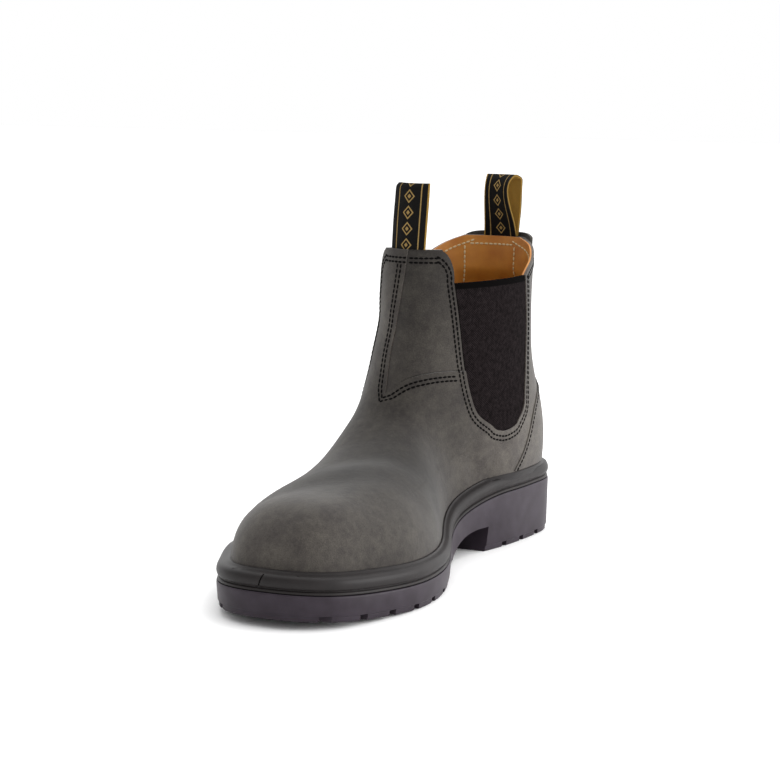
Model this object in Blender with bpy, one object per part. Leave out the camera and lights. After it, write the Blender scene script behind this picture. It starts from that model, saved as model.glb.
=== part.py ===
# Side gore work boot for the right foot, in metres. The toe points towards -Y, the inner (medial) side of the
# foot is at +X, and the sole stands on Z = 0.
import math
from collections import namedtuple

import bmesh
import bpy
import numpy as np

MM = 0.001

# Plan of the sole
SOLE_LENGTH = 300 * MM
BALL_WIDTH = 114 * MM
WAIST_WIDTH = 77 * MM
HEEL_WIDTH = 82 * MM
TOE_SHIFT = 7 * MM  # how far the toe tip lies to the medial side of the heel's middle
TOE_LEDGE = 7 * MM  # how far the rand stands out past the upper
SIDE_LEDGE = 5 * MM
HEEL_LEDGE = 4.5 * MM

# Heights of the sole
BALL_BED = 20 * MM  # floor to the bed that the upper stands on
HEEL_BED = 38 * MM
TOE_SPRING = 5 * MM
RAND_DEPTH = 7 * MM  # from the bed down to the joint between midsole and outsole
RAND_LIP = 4 * MM  # how far the rand rises past the bed, round the upper
RAND_GROOVE = 0.9 * MM
ARCH_RISE = 14 * MM  # floor to the underside of the waist
HEEL_BLOCK = 94 * MM  # length of the heel block on the floor
BREAST_LEAN = 3 * MM  # how far the heel's front face leans back to the arch
LUG_DEPTH = 3 * MM
LUG_INSET = 1.2 * MM
LUG_GAP = 4.5 * MM
LUG_PITCH = 19 * MM
CHANNEL_WIDTH = 4 * MM
LUG_REACH = 20 * MM  # how far the edge lugs reach in

# The upper
TOE_HEIGHT = 43 * MM  # bed to the top of the toe box
INSTEP_HEIGHT = 84 * MM  # bed to the top of the instep
COLLAR_HEIGHT = 171 * MM  # floor to the top of the front and back peaks
COLLAR_LENGTH = 118 * MM
COLLAR_WIDTH = 76 * MM
SHAFT_SHIFT = 3 * MM  # how far the shaft stands to the medial side of the heel's middle
CALF_TAPER = 0.12  # how much wider the shaft is at the back than at its middle
THROAT_FILLET = 22 * MM  # how softly the vamp runs up into the shaft
FEATHER_FILLET = 0.4 * MM  # how softly foot and shaft meet elsewhere
UPPER_WALL = 2.4 * MM
PEAK_WALL = 5.4 * MM  # the wall where a pull loop is sewn in
PEAK_BLEND = 12 * MM  # how softly the thicker wall starts
FIT_GAP = 0.3 * MM

# Gores, front panel and heel patch
GORE_TOP = 153 * MM
GORE_BOTTOM = 67 * MM
GORE_WALL = 1.5 * MM
GORE_SET_BACK = 0.6 * MM
PEAK_ROUND = (10 * MM, 16 * MM)  # width and height of the front peak's round corners, beside the gores
PANEL_SET_BACK = 0.5 * MM
PANEL_WALL = 0.7 * MM
PANEL_BOTTOM = 93 * MM
PATCH_TOP = 90 * MM
PATCH_DEPTH = 0.7 * MM  # how far the heel patch is let into the wall
PATCH_RISE = 0.7 * MM

# Insole and pull loops
INSOLE_THICKNESS = 4 * MM
INSOLE_CUP = 4 * MM
INSOLE_SLACK = 2.8 * MM  # room between the insole and the upper's wall
LOOP_WIDTH = 21 * MM
LOOP_RISE = 36 * MM
LOOP_TAIL = 12 * MM
LOOP_WALL = 1.1 * MM
LOOP_BULGE_FRONT = 4 * MM  # how far the loop's inner face bows in
LOOP_BULGE_BACK = 10 * MM
LOOP_ARC = 1.15  # turns of the loops' edges against the collar's mean radius
LOOP_TURN_FRONT = -2.5  # degrees round the collar from its front, towards the medial side
LOOP_TURN_BACK = 176.5
LOOP_LEAN = 2.5 * MM  # how far a loop's top leans to the medial side
SEAT_DEPTH = 1.5 * MM  # leather outside a loop's tail

# Shares of the sole's length, from the heel
TREAD_FRONT = 0.96
TREAD_BACK = 0.52
ARCH_FRONT = 0.50

# How far cutters reach past what they cut
CUTTER_OUT = 4 * MM
CUTTER_IN = 2 * MM

# Resolution of the faceted solids
AROUND = 56
UPPER_RINGS = 22

SoleRow = namedtuple("SoleRow", "along width medial ledge")
SOLE_ROWS = [
    # along the sole from heel (0) to toe (1), width here, share of it on the medial side, ledge
    SoleRow(0.00, HEEL_WIDTH, 0.50, HEEL_LEDGE),
    SoleRow(0.14, HEEL_WIDTH, 0.49, HEEL_LEDGE),
    SoleRow(0.28, 0.5 * (HEEL_WIDTH + WAIST_WIDTH), 0.45, HEEL_LEDGE),
    SoleRow(0.40, WAIST_WIDTH, 0.39, SIDE_LEDGE),
    SoleRow(0.52, 0.5 * (WAIST_WIDTH + BALL_WIDTH), 0.44, SIDE_LEDGE),
    SoleRow(0.65, BALL_WIDTH, 0.49, SIDE_LEDGE),
    SoleRow(0.76, BALL_WIDTH, 0.50, SIDE_LEDGE),
    SoleRow(0.88, 0.88 * BALL_WIDTH, 0.52, TOE_LEDGE),
    SoleRow(1.00, 0.90 * BALL_WIDTH, 0.54, TOE_LEDGE),
]
TOE_ROUNDING = (0.27, 2.4)  # share of the length that is rounded, and how full the round is
HEEL_ROUNDING = (0.13, 2.8)

FootRow = namedtuple("FootRow", "along height side top")
FOOT_ROWS = [
    # along the sole, height of the ridge over the bed, fullness of the sides, fullness of the top
    FootRow(0.00, 0.06 * INSTEP_HEIGHT, 2.6, 2.6),
    FootRow(0.08, 0.22 * INSTEP_HEIGHT, 2.6, 2.6),
    FootRow(0.20, 0.78 * INSTEP_HEIGHT, 2.5, 2.4),
    FootRow(0.35, 0.92 * INSTEP_HEIGHT, 2.3, 1.9),
    FootRow(0.45, 0.79 * INSTEP_HEIGHT, 2.2, 1.8),
    FootRow(0.53, 0.64 * INSTEP_HEIGHT, 2.2, 1.8),
    FootRow(0.60, 0.55 * INSTEP_HEIGHT, 2.2, 1.8),
    FootRow(0.70, 0.98 * TOE_HEIGHT, 2.2, 1.8),
    FootRow(0.80, 0.87 * TOE_HEIGHT, 2.4, 2.0),
    FootRow(0.90, 0.86 * TOE_HEIGHT, 2.6, 2.3),
    FootRow(1.00, 0.86 * TOE_HEIGHT, 2.6, 2.3),
]
TOE_BOX_ROUNDING = (0.15, 2.3)
RIDGE_SHIFT = 0.24  # share of the half width by which the ridge leans to the medial side

ShaftRow = namedtuple("ShaftRow", "up back length width square")
SHAFT_ROWS = [
    # up from the heel bed (0) to the collar (1), back edge in from the sole's back, length, width, squareness
    ShaftRow(0.00, 1.00 * HEEL_LEDGE, 0.80 * COLLAR_LENGTH, 0.975 * COLLAR_WIDTH, 2.5),
    ShaftRow(0.15, 0.60 * HEEL_LEDGE, 0.86 * COLLAR_LENGTH, 0.990 * COLLAR_WIDTH, 2.5),
    ShaftRow(0.33, 0.95 * HEEL_LEDGE, 0.96 * COLLAR_LENGTH, 0.965 * COLLAR_WIDTH, 2.3),
    ShaftRow(0.50, 2.10 * HEEL_LEDGE, 1.02 * COLLAR_LENGTH, 0.950 * COLLAR_WIDTH, 2.1),
    ShaftRow(0.62, 2.80 * HEEL_LEDGE, 1.02 * COLLAR_LENGTH, 0.960 * COLLAR_WIDTH, 2.1),
    ShaftRow(0.75, 3.20 * HEEL_LEDGE, 1.02 * COLLAR_LENGTH, 0.975 * COLLAR_WIDTH, 2.1),
    ShaftRow(1.00, 3.15 * HEEL_LEDGE, 1.00 * COLLAR_LENGTH, 1.000 * COLLAR_WIDTH, 2.1),
]

AROUND_SHARES = np.arange(AROUND) / AROUND
EDGE = 1e-6  # keeps divisions clear of zero
WELD = 0.03 * MM  # points nearer than this are joined after a cut
EDGE_PROBE = 0.2 * MM  # step that slopes are measured over


def smooth_step(value):
    value = np.clip(value, 0.0, 1.0)
    return value * value * (3 - 2 * value)


def spline(rows, key, column):
    """A smooth curve through one column of a table, as a function of its key column."""
    x = np.array([getattr(row, key) for row in rows])
    y = np.array([getattr(row, column) for row in rows])
    step = np.diff(x)
    count = len(x)
    matrix = np.eye(count)
    slope = np.zeros(count)
    for i in range(1, count - 1):
        matrix[i, i - 1 : i + 2] = step[i - 1], 2 * (step[i - 1] + step[i]), step[i]
        slope[i] = 6 * ((y[i + 1] - y[i]) / step[i] - (y[i] - y[i - 1]) / step[i - 1])
    bend = np.linalg.solve(matrix, slope)

    def value(at):
        at = np.clip(at, x[0], x[-1])
        i = np.clip(np.searchsorted(x, at) - 1, 0, count - 2)
        h, a, b = step[i], x[i + 1] - at, at - x[i]
        return (
            (bend[i] * a**3 + bend[i + 1] * b**3) / (6 * h)
            + (y[i] / h - bend[i] * h / 6) * a
            + (y[i + 1] / h - bend[i + 1] * h / 6) * b
        )

    return value


sole_width = spline(SOLE_ROWS, "along", "width")
sole_medial = spline(SOLE_ROWS, "along", "medial")
sole_ledge = spline(SOLE_ROWS, "along", "ledge")
foot_height = spline(FOOT_ROWS, "along", "height")
foot_side = spline(FOOT_ROWS, "along", "side")
foot_top = spline(FOOT_ROWS, "along", "top")
shaft_back = spline(SHAFT_ROWS, "up", "back")
shaft_length = spline(SHAFT_ROWS, "up", "length")
shaft_width = spline(SHAFT_ROWS, "up", "width")
shaft_square = spline(SHAFT_ROWS, "up", "square")


def rounded_end(distance, rounding):
    """1 away from an end, falling to 0 at it as a round does. Distance is a share of the length."""
    depth, fullness = rounding
    inside = np.clip(1 - distance / depth, 0.0, 1.0)
    return (1 - inside**fullness) ** (1 / fullness)


def along_of(y):
    return 0.5 - y / SOLE_LENGTH


def sole_edge(around):
    """Points of the sole's plan, before it is centred. Around runs 0 to 1: toe, medial side, heel, lateral side."""
    angle = 2 * math.pi * around
    along = 0.5 + 0.5 * np.cos(angle)
    medial = np.sin(angle) >= 0
    share = np.where(medial, sole_medial(along), sole_medial(along) - 1)
    ends = rounded_end(1 - along, TOE_ROUNDING) * rounded_end(along, HEEL_ROUNDING)
    x = TOE_SHIFT * smooth_step(2 * along - 1) + share * sole_width(along) * ends
    return np.stack([x, SOLE_LENGTH * (0.5 - along)], -1)


PLAN = sole_edge(np.linspace(0, 1, 721))
PLAN_MIDDLE = 0.5 * (PLAN.min(0) + PLAN.max(0))


def outline(around, inset):
    """Points of the sole's plan, drawn in by inset square to its edge."""
    around = np.asarray(around, float)
    step = 1e-3
    tangent = sole_edge(around + step) - sole_edge(around - step)
    tangent /= np.linalg.norm(tangent, axis=-1, keepdims=True)
    inward = np.stack([-tangent[..., 1], tangent[..., 0]], -1)
    inset = np.broadcast_to(inset, around.shape)[..., None]
    return sole_edge(around) - PLAN_MIDDLE + inward * inset


def ledge_at(around):
    return sole_ledge(0.5 + 0.5 * np.cos(2 * math.pi * np.asarray(around)))


def bed_height(y):
    """Height of the bed that the upper stands on."""
    along = along_of(y)
    heel = smooth_step((0.56 - along) / 0.32)
    spring = np.clip((along - 0.70) / 0.30, 0, 1) ** 2
    return BALL_BED + heel * (HEEL_BED - BALL_BED) + spring * TOE_SPRING


FEATHER_SHARES = np.linspace(0, 0.5, 361)
MEDIAL_FEATHER = outline(FEATHER_SHARES, ledge_at(FEATHER_SHARES))
LATERAL_FEATHER = outline(1 - FEATHER_SHARES, ledge_at(FEATHER_SHARES))
FOOT_TIP = MEDIAL_FEATHER[0, 1]
FOOT_END = MEDIAL_FEATHER[-1, 1]


def foot_value(x, y, z):
    """Below 0 inside the foot's arch-shaped sections, in metres near the surface."""
    along = along_of(y)
    medial = np.interp(y, MEDIAL_FEATHER[:, 1], MEDIAL_FEATHER[:, 0])
    lateral = np.interp(y, LATERAL_FEATHER[:, 1], LATERAL_FEATHER[:, 0])
    lean = RIDGE_SHIFT * smooth_step((along - 0.3) / 0.4)
    ridge = 0.5 * (medial + lateral) + 0.5 * lean * (medial - lateral)
    half = np.where(x > ridge, medial - ridge, ridge - lateral) + EDGE
    tip = along_of(FOOT_TIP) - along
    height = foot_height(along) * rounded_end(tip, TOE_BOX_ROUNDING) + EDGE
    up = np.clip((z - bed_height(y)) / height, 0, None)
    size = (np.abs(x - ridge) / half) ** foot_side(along) + up ** foot_top(along)
    beyond = np.maximum(y - FOOT_END, FOOT_TIP - y)
    scale = np.minimum(0.5 * (medial - lateral), height) + EDGE
    return np.where(beyond > 0, beyond, (size ** (1 / foot_side(along)) - 1) * scale)


def shaft_value(x, y, z):
    """Below 0 inside the shaft's horizontal sections, in metres near the surface."""
    up = (z - HEEL_BED) / (COLLAR_HEIGHT - HEEL_BED)
    half_length = 0.5 * shaft_length(up)
    half_width = 0.5 * shaft_width(up)
    middle = 0.5 * SOLE_LENGTH - shaft_back(up) - half_length
    square = shaft_square(up)
    half_width = half_width * (1 + CALF_TAPER * np.clip(up, 0, 1) * np.clip((y - middle) / half_length, -1, 1))
    size = (np.abs(x - AXIS_X) / half_width) ** square + (np.abs(y - middle) / half_length) ** square
    return (size ** (1 / square) - 1) * half_width


AXIS_X = 0.5 * (MEDIAL_FEATHER[-60, 0] + LATERAL_FEATHER[-60, 0]) + SHAFT_SHIFT


def last_value(x, y, z):
    """Below 0 inside the last, whose foot and shaft run softly into each other."""
    foot = foot_value(x, y, z)
    shaft = shaft_value(x, y, z)
    up = (z - HEEL_BED) / (COLLAR_HEIGHT - HEEL_BED)
    throat = smooth_step(up / 0.35) * smooth_step((1 - up) / 0.45)
    soft = FEATHER_FILLET + THROAT_FILLET * throat * smooth_step(1.35 - y / SHAFT_AXIS_Y)
    near = np.clip(soft - np.abs(foot - shaft), 0, None) / soft
    return np.minimum(foot, shaft) - near**2 * soft / 4


def meet_surface(start, reach, height_at):
    """Where rays from start, along reach, leave the last. The height of a ray follows height_at(y)."""
    low = np.zeros(len(start))
    high = np.ones(len(start))
    for _ in range(34):
        middle = 0.5 * (low + high)
        point = start + reach * middle[:, None]
        inside = last_value(point[:, 0], point[:, 1], height_at(point[:, 1])) < 0
        low = np.where(inside, middle, low)
        high = np.where(inside, high, middle)
    point = start + reach * low[:, None]
    return np.column_stack([point, height_at(point[:, 1])])


def unit(vectors):
    return vectors / np.linalg.norm(vectors, axis=-1, keepdims=True)


def last_normals(points):
    slopes = [
        last_value(*(points + step).T) - last_value(*(points - step).T)
        for step in np.eye(3) * EDGE_PROBE
    ]
    return unit(np.stack(slopes, -1))


def evened(normals, rounds):
    """Normals of a grid of rings, each drawn towards its neighbours, so that offset rings don't cross."""
    for _ in range(rounds):
        beside = np.roll(normals, 1, 1) + np.roll(normals, -1, 1)
        below = np.concatenate([normals[:1], normals[:-1]])
        above = np.concatenate([normals[1:], normals[-1:]])
        normals = unit(4 * normals + beside + below + above)
    return normals


def pushed(points, out):
    """Points moved out of the last's surface by that distance, or into it if it is negative."""
    return points + last_normals(points) * np.broadcast_to(out, len(points))[:, None]


def shaft_point(turn, height, out):
    """A point on the shaft: turn is in degrees from the front, towards the medial side."""
    turn, height = np.broadcast_arrays(np.asarray(turn, float), np.asarray(height, float))
    shape = turn.shape
    turn = np.radians(turn.ravel())
    height = height.ravel()
    start = np.column_stack([np.full(len(turn), AXIS_X), np.full(len(turn), SHAFT_AXIS_Y)])
    reach = np.column_stack([np.sin(turn), -np.cos(turn)]) * SOLE_LENGTH
    found = meet_surface(start, reach, lambda y: height)
    out = np.broadcast_to(out, shape).ravel()
    return pushed(found, out).reshape(*shape, 3)


SHAFT_AXIS_Y = 0.5 * SOLE_LENGTH - shaft_back(1.0) - 0.5 * COLLAR_LENGTH


def level_ring(height_at, rise):
    """A ring of the last at the heights that height_at(y) gives. Rise is its place between bed and collar."""
    ends = meet_surface(
        np.array([[AXIS_X, SHAFT_AXIS_Y], [AXIS_X, SHAFT_AXIS_Y]]),
        np.array([[0, -SOLE_LENGTH], [0, SOLE_LENGTH]]),
        height_at,
    )
    front, back = ends[:, 1]
    reach = smooth_step((SHAFT_AXIS_Y - front) / (0.5 * SOLE_LENGTH) - 0.5)
    front_round = 0.5 * COLLAR_LENGTH * (1 - reach) + 0.40 * BALL_WIDTH * reach
    back_round = 0.42 * HEEL_WIDTH
    angle = 2 * math.pi * AROUND_SHARES
    share = 0.5 + 0.5 * np.cos(angle)
    y = (back - back_round) * (1 - share) + (front + front_round) * share
    forward = smooth_step((along_of(y) - 0.3) / 0.5)
    start = np.column_stack([AXIS_X + (MEDIAL_FEATHER[0, 0] - AXIS_X) * forward * (1 - rise), y])
    direction = np.column_stack([np.sin(angle), -np.cos(angle) * np.abs(np.cos(angle))])
    return meet_surface(start, direction * SOLE_LENGTH, height_at)


def top_line(rise):
    """Where the upper's ring at that rise crosses the top line, from the toe over the vamp to the collar."""
    low = math.atan2(bed_height(FOOT_TIP) - HEEL_BED, SHAFT_AXIS_Y - FOOT_TIP)
    high = math.atan2(COLLAR_HEIGHT - HEEL_BED, 0.5 * COLLAR_LENGTH)
    tilt = low + (high - low) * rise
    rate = math.tan(tilt)
    start = np.array([[AXIS_X, SHAFT_AXIS_Y]])
    return meet_surface(start, np.array([[0, -SOLE_LENGTH]]), lambda y: HEEL_BED + (SHAFT_AXIS_Y - y) * rate)[0]


def upper_ring(rise):
    """One ring of the last, from the bed (rise 0) to the collar (rise 1). It slopes from the top line to the heel."""
    front = top_line(rise)
    back_height = HEEL_BED + (COLLAR_HEIGHT - HEEL_BED) * rise
    back_y = 0.5 * SOLE_LENGTH

    def slope(y, at_front, at_back):
        share = np.clip((back_y - y) / (back_y - front[1]), 0, None)
        return at_back + (at_front - at_back) * share

    def height_at(y):
        bow = bed_height(y) - slope(y, bed_height(front[1]), HEEL_BED)
        return slope(y, front[2], back_height) + bow * (1 - rise) ** 2

    return level_ring(height_at, rise)


def new_object(name, mesh, colour, roughness, metallic=0.0):
    """Links a mesh as an object with a material of its own, smooth but for its edges."""
    mesh.validate()
    material = bpy.data.materials.new(name)
    material.use_nodes = True
    shader = material.node_tree.nodes["Principled BSDF"]
    shader.inputs["Base Color"].default_value = (*colour, 1)
    shader.inputs["Roughness"].default_value = roughness
    shader.inputs["Metallic"].default_value = metallic
    mesh.materials.append(material)
    mesh.shade_smooth()
    mesh.set_sharp_from_angle(angle=math.radians(40))
    made = bpy.data.objects.new(name, mesh)
    bpy.context.scene.collection.objects.link(made)
    return made


def mesh_from(name, build):
    """A mesh made by build(bm), with its faces turned outwards."""
    bm = bmesh.new()
    build(bm)
    bmesh.ops.remove_doubles(bm, verts=bm.verts, dist=1e-6)
    bmesh.ops.recalc_face_normals(bm, faces=bm.faces)
    if bm.calc_volume(signed=True) < 0:
        bmesh.ops.reverse_faces(bm, faces=bm.faces)
    mesh = bpy.data.meshes.new(name)
    bm.to_mesh(mesh)
    bm.free()
    return mesh


def loft(bm, rings, closed_round=True, closed_along=False, split=False):
    """Quads between rows of points, or triangles that all lean one way. Returns the rows of vertices."""
    rows = [[bm.verts.new(point) for point in ring] for ring in rings]
    pairs = list(zip(rows, rows[1:]))
    if closed_along:
        pairs.append((rows[-1], rows[0]))
    for low, high in pairs:
        last = len(low) if closed_round else len(low) - 1
        for i in range(last):
            j = (i + 1) % len(low)
            if split:
                bm.faces.new((low[i], low[j], high[j]))
                bm.faces.new((low[i], high[j], high[i]))
            else:
                bm.faces.new((low[i], low[j], high[j], high[i]))
    return rows


def rung_cap(bm, row):
    """Closes a ring whose two sides face each other, with a ladder of quads from end to end."""
    count = len(row)
    half = count // 2
    for i in range(half):
        corners = [row[i], row[i + 1], row[(count - i - 1) % count], row[(count - i) % count]]
        corners = [v for n, v in enumerate(corners) if v not in corners[:n]]
        bm.faces.new(corners)


def sole_rings(profile):
    """Rings round the sole: profile holds (inset, height function of y) from one face to the other."""
    rings = []
    for inset, height_at in profile:
        flat = outline(AROUND_SHARES, inset)
        rings.append(np.column_stack([flat, height_at(flat[:, 1])]))
    return rings


def joint_height(y):
    """Height of the joint between outsole and midsole."""
    return bed_height(y) - RAND_DEPTH


def floor_height(y):
    """Underside of the tread: flat, but for the toe spring."""
    spring = np.clip((along_of(y) - 0.70) / 0.30, 0, 1) ** 2
    return spring * TOE_SPRING


def over_bed(rise):
    return lambda y: bed_height(y) + rise


def over_bed_ring(rise):
    """The ring where the last stands that far above the bed."""
    return level_ring(over_bed(rise), 0.0)


def build_midsole(bm):
    bed_edge = ledge_at(AROUND_SHARES)
    profile = [
        (1.6 * MM, lambda y: joint_height(y) + FIT_GAP),
        (0.9 * MM, lambda y: joint_height(y) + FIT_GAP),
        (0.7 * MM, lambda y: joint_height(y) + 1.6 * MM),
        (RAND_GROOVE + 0.7 * MM, lambda y: joint_height(y) + 2.0 * MM),
        (RAND_GROOVE + 0.7 * MM, lambda y: joint_height(y) + 2.6 * MM),
        (0.3 * MM, over_bed(-3.4 * MM)),
        (0.0 * MM, over_bed(-1.5 * MM)),
        (0.5 * MM, over_bed(0.6 * MM)),
        (0.36 * bed_edge, over_bed(2.2 * MM)),
        (0.72 * bed_edge, over_bed(0.8 * RAND_LIP)),
        (bed_edge - 1.4 * MM, over_bed(RAND_LIP)),
    ]
    pocket_top = pushed(over_bed_ring(RAND_LIP), FIT_GAP)
    pocket_foot = pushed(over_bed_ring(0.0), FIT_GAP)
    pocket_top[:, 2] = bed_height(pocket_top[:, 1]) + RAND_LIP
    pocket_foot[:, 2] = bed_height(pocket_foot[:, 1])
    rows = loft(bm, sole_rings(profile) + [pocket_top, pocket_foot])
    rung_cap(bm, rows[0])
    rung_cap(bm, rows[-1])


def build_outsole(bm):
    profile = [
        (1.2 * MM, joint_height),
        (0.4 * MM, joint_height),
        (0.0 * MM, lambda y: joint_height(y) - 0.6 * MM),
        (0.6 * MM, lambda y: floor_height(y) + LUG_DEPTH + 0.5 * MM),
        (LUG_INSET, lambda y: floor_height(y) + LUG_DEPTH - 0.3 * MM),
        (LUG_INSET + 0.2 * MM, floor_height),
    ]
    rows = loft(bm, sole_rings(profile))
    rung_cap(bm, rows[0])
    rung_cap(bm, rows[-1])


def prism(name, outline_yz, half_width):
    """A cutter drawn as a side view (y, z) and drawn out along X on both sides."""

    def build(bm):
        near = [bm.verts.new((-half_width, y, z)) for y, z in outline_yz]
        face = bm.faces.new(near)
        moved = bmesh.ops.extrude_face_region(bm, geom=[face])["geom"]
        verts = [v for v in moved if isinstance(v, bmesh.types.BMVert)]
        bmesh.ops.translate(bm, verts=verts, vec=(2 * half_width, 0, 0))

    return cutter(name, mesh_from(name, build))


def cutter(name, mesh):
    made = bpy.data.objects.new(name, mesh)
    made.hide_render = True
    made.display_type = "WIRE"
    bpy.context.scene.collection.objects.link(made)
    return made


def cut(target, tool):
    modifier = target.modifiers.new(tool.name, "BOOLEAN")
    modifier.operation = "DIFFERENCE"
    modifier.object = tool


def settle_cuts(target):
    """Applies the cuts, and drops the slivers that nearly parallel faces leave beside them."""
    graph = bpy.context.evaluated_depsgraph_get()
    mesh = bpy.data.meshes.new_from_object(target.evaluated_get(graph))
    target.modifiers.clear()
    bm = bmesh.new()
    bm.from_mesh(mesh)
    bmesh.ops.triangulate(bm, faces=bm.faces)
    bmesh.ops.remove_doubles(bm, verts=bm.verts, dist=WELD)
    bmesh.ops.dissolve_degenerate(bm, edges=bm.edges, dist=WELD)
    drop_loose(bm)
    bm.to_mesh(mesh)
    bm.free()
    target.data = mesh


def drop_loose(bm):
    """Deletes all but the largest body, where bodies that only touch at an edge or a corner count as apart."""
    waiting = set(bm.faces)
    bodies = []
    while waiting:
        body = [waiting.pop()]
        for face in body:
            joined = {other for edge in face.edges if len(edge.link_faces) == 2 for other in edge.link_faces}
            joined &= waiting
            waiting -= joined
            body.extend(joined)
        bodies.append(body)
    bodies.sort(key=len)
    slivers = [face for body in bodies[:-1] for face in body]
    bmesh.ops.delete(bm, geom=slivers, context="FACES")


def arch_outline():
    """Side view of the hollow between the heel breast and the tread under the ball."""
    breast = 0.5 * SOLE_LENGTH - HEEL_BLOCK
    front = SOLE_LENGTH * (0.5 - ARCH_FRONT)
    steps = np.linspace(0, 1, 9)
    top = breast + BREAST_LEAN
    y = top + (front - top) * steps
    z = ARCH_RISE * (1 - smooth_step(steps) ** 1.5) + floor_height(y)
    roof = list(zip(y, z))
    roof[0] = (top, ARCH_RISE)
    roof[-1] = (front, 0.0)
    return [(breast, -CUTTER_OUT)] + roof + [(front, -CUTTER_OUT)]


def patch_solid(name, turns, heights, out_low, out_high):
    """A curved panel of the shaft: a grid of turns and heights between two offsets of the last."""

    def build(bm):
        inner = shaft_point(turns, heights, out_low)
        outer = shaft_point(turns, heights, out_high)
        rows_in = loft(bm, inner, closed_round=False, split=True)
        rows_out = loft(bm, outer, closed_round=False, split=True)
        edge_in = border(rows_in)
        edge_out = border(rows_out)
        for i in range(len(edge_in)):
            j = (i + 1) % len(edge_in)
            bm.faces.new((edge_in[i], edge_in[j], edge_out[j], edge_out[i]))

    return mesh_from(name, build)


def border(rows):
    """The vertices round the edge of a grid, in order."""
    return (
        rows[0]
        + [row[-1] for row in rows[1:]]
        + rows[-1][-2::-1]
        + [row[0] for row in rows[-2:0:-1]]
    )


PatchRow = namedtuple("PatchRow", "up front back")
GORE_ROWS = [
    # up from the gore's bottom (0) to its top (1), turn in degrees of its front edge and of its back edge
    PatchRow(0.00, 76, 87),
    PatchRow(0.04, 64, 101),
    PatchRow(0.10, 51, 110),
    PatchRow(0.20, 41, 115),
    PatchRow(0.44, 33.5, 120),
    PatchRow(0.70, 30, 119),
    PatchRow(1.00, 26, 110),
]
HEEL_PATCH_ROWS = [
    # up from the patch's bottom (0) to its top (1), turn in degrees of its two edges
    PatchRow(0.00, 97, 263),
    PatchRow(0.22, 111, 249),
    PatchRow(0.50, 122, 238),
    PatchRow(0.75, 132, 228),
    PatchRow(0.90, 144, 216),
    PatchRow(1.00, 156, 204),
]
DEGREES_PER_METRE = math.degrees(1 / (0.5 * COLLAR_LENGTH))


def patch_grid(rows, bottom, top, columns, count, crowding=1.6):
    """Turns and heights of a patch between two heights."""
    share = np.linspace(0, 1, count) ** crowding
    front = spline(rows, "up", "front")(share)
    back = spline(rows, "up", "back")(share)
    across = np.linspace(0, 1, columns)
    turns = front[:, None] * (1 - across) + back[:, None] * across
    return turns, np.repeat((bottom + (top - bottom) * share)[:, None], columns, 1)


def peak_corner(heights):
    """How far the front peak's round corners have drawn back from the gore's edge at these heights."""
    width, height = PEAK_ROUND
    over = np.clip(1 - (COLLAR_HEIGHT - heights) / height, 0, 0.98)
    return width * (1 - np.sqrt(1 - over**2))


CornerRow = namedtuple("CornerRow", "up turn")
BACK_CORNER_ROWS = [
    # from the gore's top (0) to the collar (1), where the back peak's sloping corner stands, in degrees
    CornerRow(0.00, 110),
    CornerRow(0.22, 119),
    CornerRow(0.45, 133),
    CornerRow(0.67, 143),
    CornerRow(0.84, 151),
    CornerRow(1.00, 160),
]


def gore_opening(turns, heights, grow):
    """The gore's grid, grown at its edges and carried on up through the collar, past the peaks' corners."""
    above = np.linspace(GORE_TOP + FIT_GAP, COLLAR_HEIGHT + CUTTER_OUT, 8)
    front = turns[-1, 0] - peak_corner(above) * DEGREES_PER_METRE
    back = spline(BACK_CORNER_ROWS, "up", "turn")((above - GORE_TOP) / (COLLAR_HEIGHT - GORE_TOP))
    across = np.linspace(0, 1, turns.shape[1])
    turns = np.concatenate([turns, front[:, None] * (1 - across) + back[:, None] * across])
    heights = np.concatenate([heights, np.repeat(above[:, None], turns.shape[1], 1)])
    turns[:, 0] -= grow * DEGREES_PER_METRE
    turns[:, -1] += grow * DEGREES_PER_METRE
    heights[0] -= grow
    return turns, heights


def build_gores(upper):
    turns, heights = patch_grid(GORE_ROWS, GORE_BOTTOM, GORE_TOP, 10, 13)
    open_turns, open_heights = gore_opening(turns, heights, 2 * FIT_GAP)
    for name, side in (("gore_medial", 1), ("gore_lateral", -1)):
        tool = patch_solid(name + "_opening", side * open_turns, open_heights, -PEAK_WALL - CUTTER_IN, CUTTER_OUT)
        cut(upper, cutter(name + "_opening", tool))
        mesh = patch_solid(name, side * turns, heights, -GORE_SET_BACK - GORE_WALL, -GORE_SET_BACK)
        new_object(name, mesh, (0.012, 0.012, 0.013), 0.9)


PanelRow = namedtuple("PanelRow", "across bottom")
PANEL_ROWS = [
    # across the front panel from the seam (0) to the gore (1), height of its bottom edge
    PanelRow(0.00, PANEL_BOTTOM),
    PanelRow(0.17, PANEL_BOTTOM + 6.5 * MM),
    PanelRow(0.39, PANEL_BOTTOM + 10.5 * MM),
    PanelRow(0.65, PANEL_BOTTOM + 12 * MM),
    PanelRow(1.00, PANEL_BOTTOM + 11.5 * MM),
]
SeamRow = namedtuple("SeamRow", "up turn")
SEAM_ROWS = [
    # up the panel's seam from its tip (0) to the collar (1), degrees round the shaft from its front
    SeamRow(0.00, -8),
    SeamRow(0.23, -8.5),
    SeamRow(0.44, -6.5),
    SeamRow(0.66, -3),
    SeamRow(1.00, 0),
]


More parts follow.
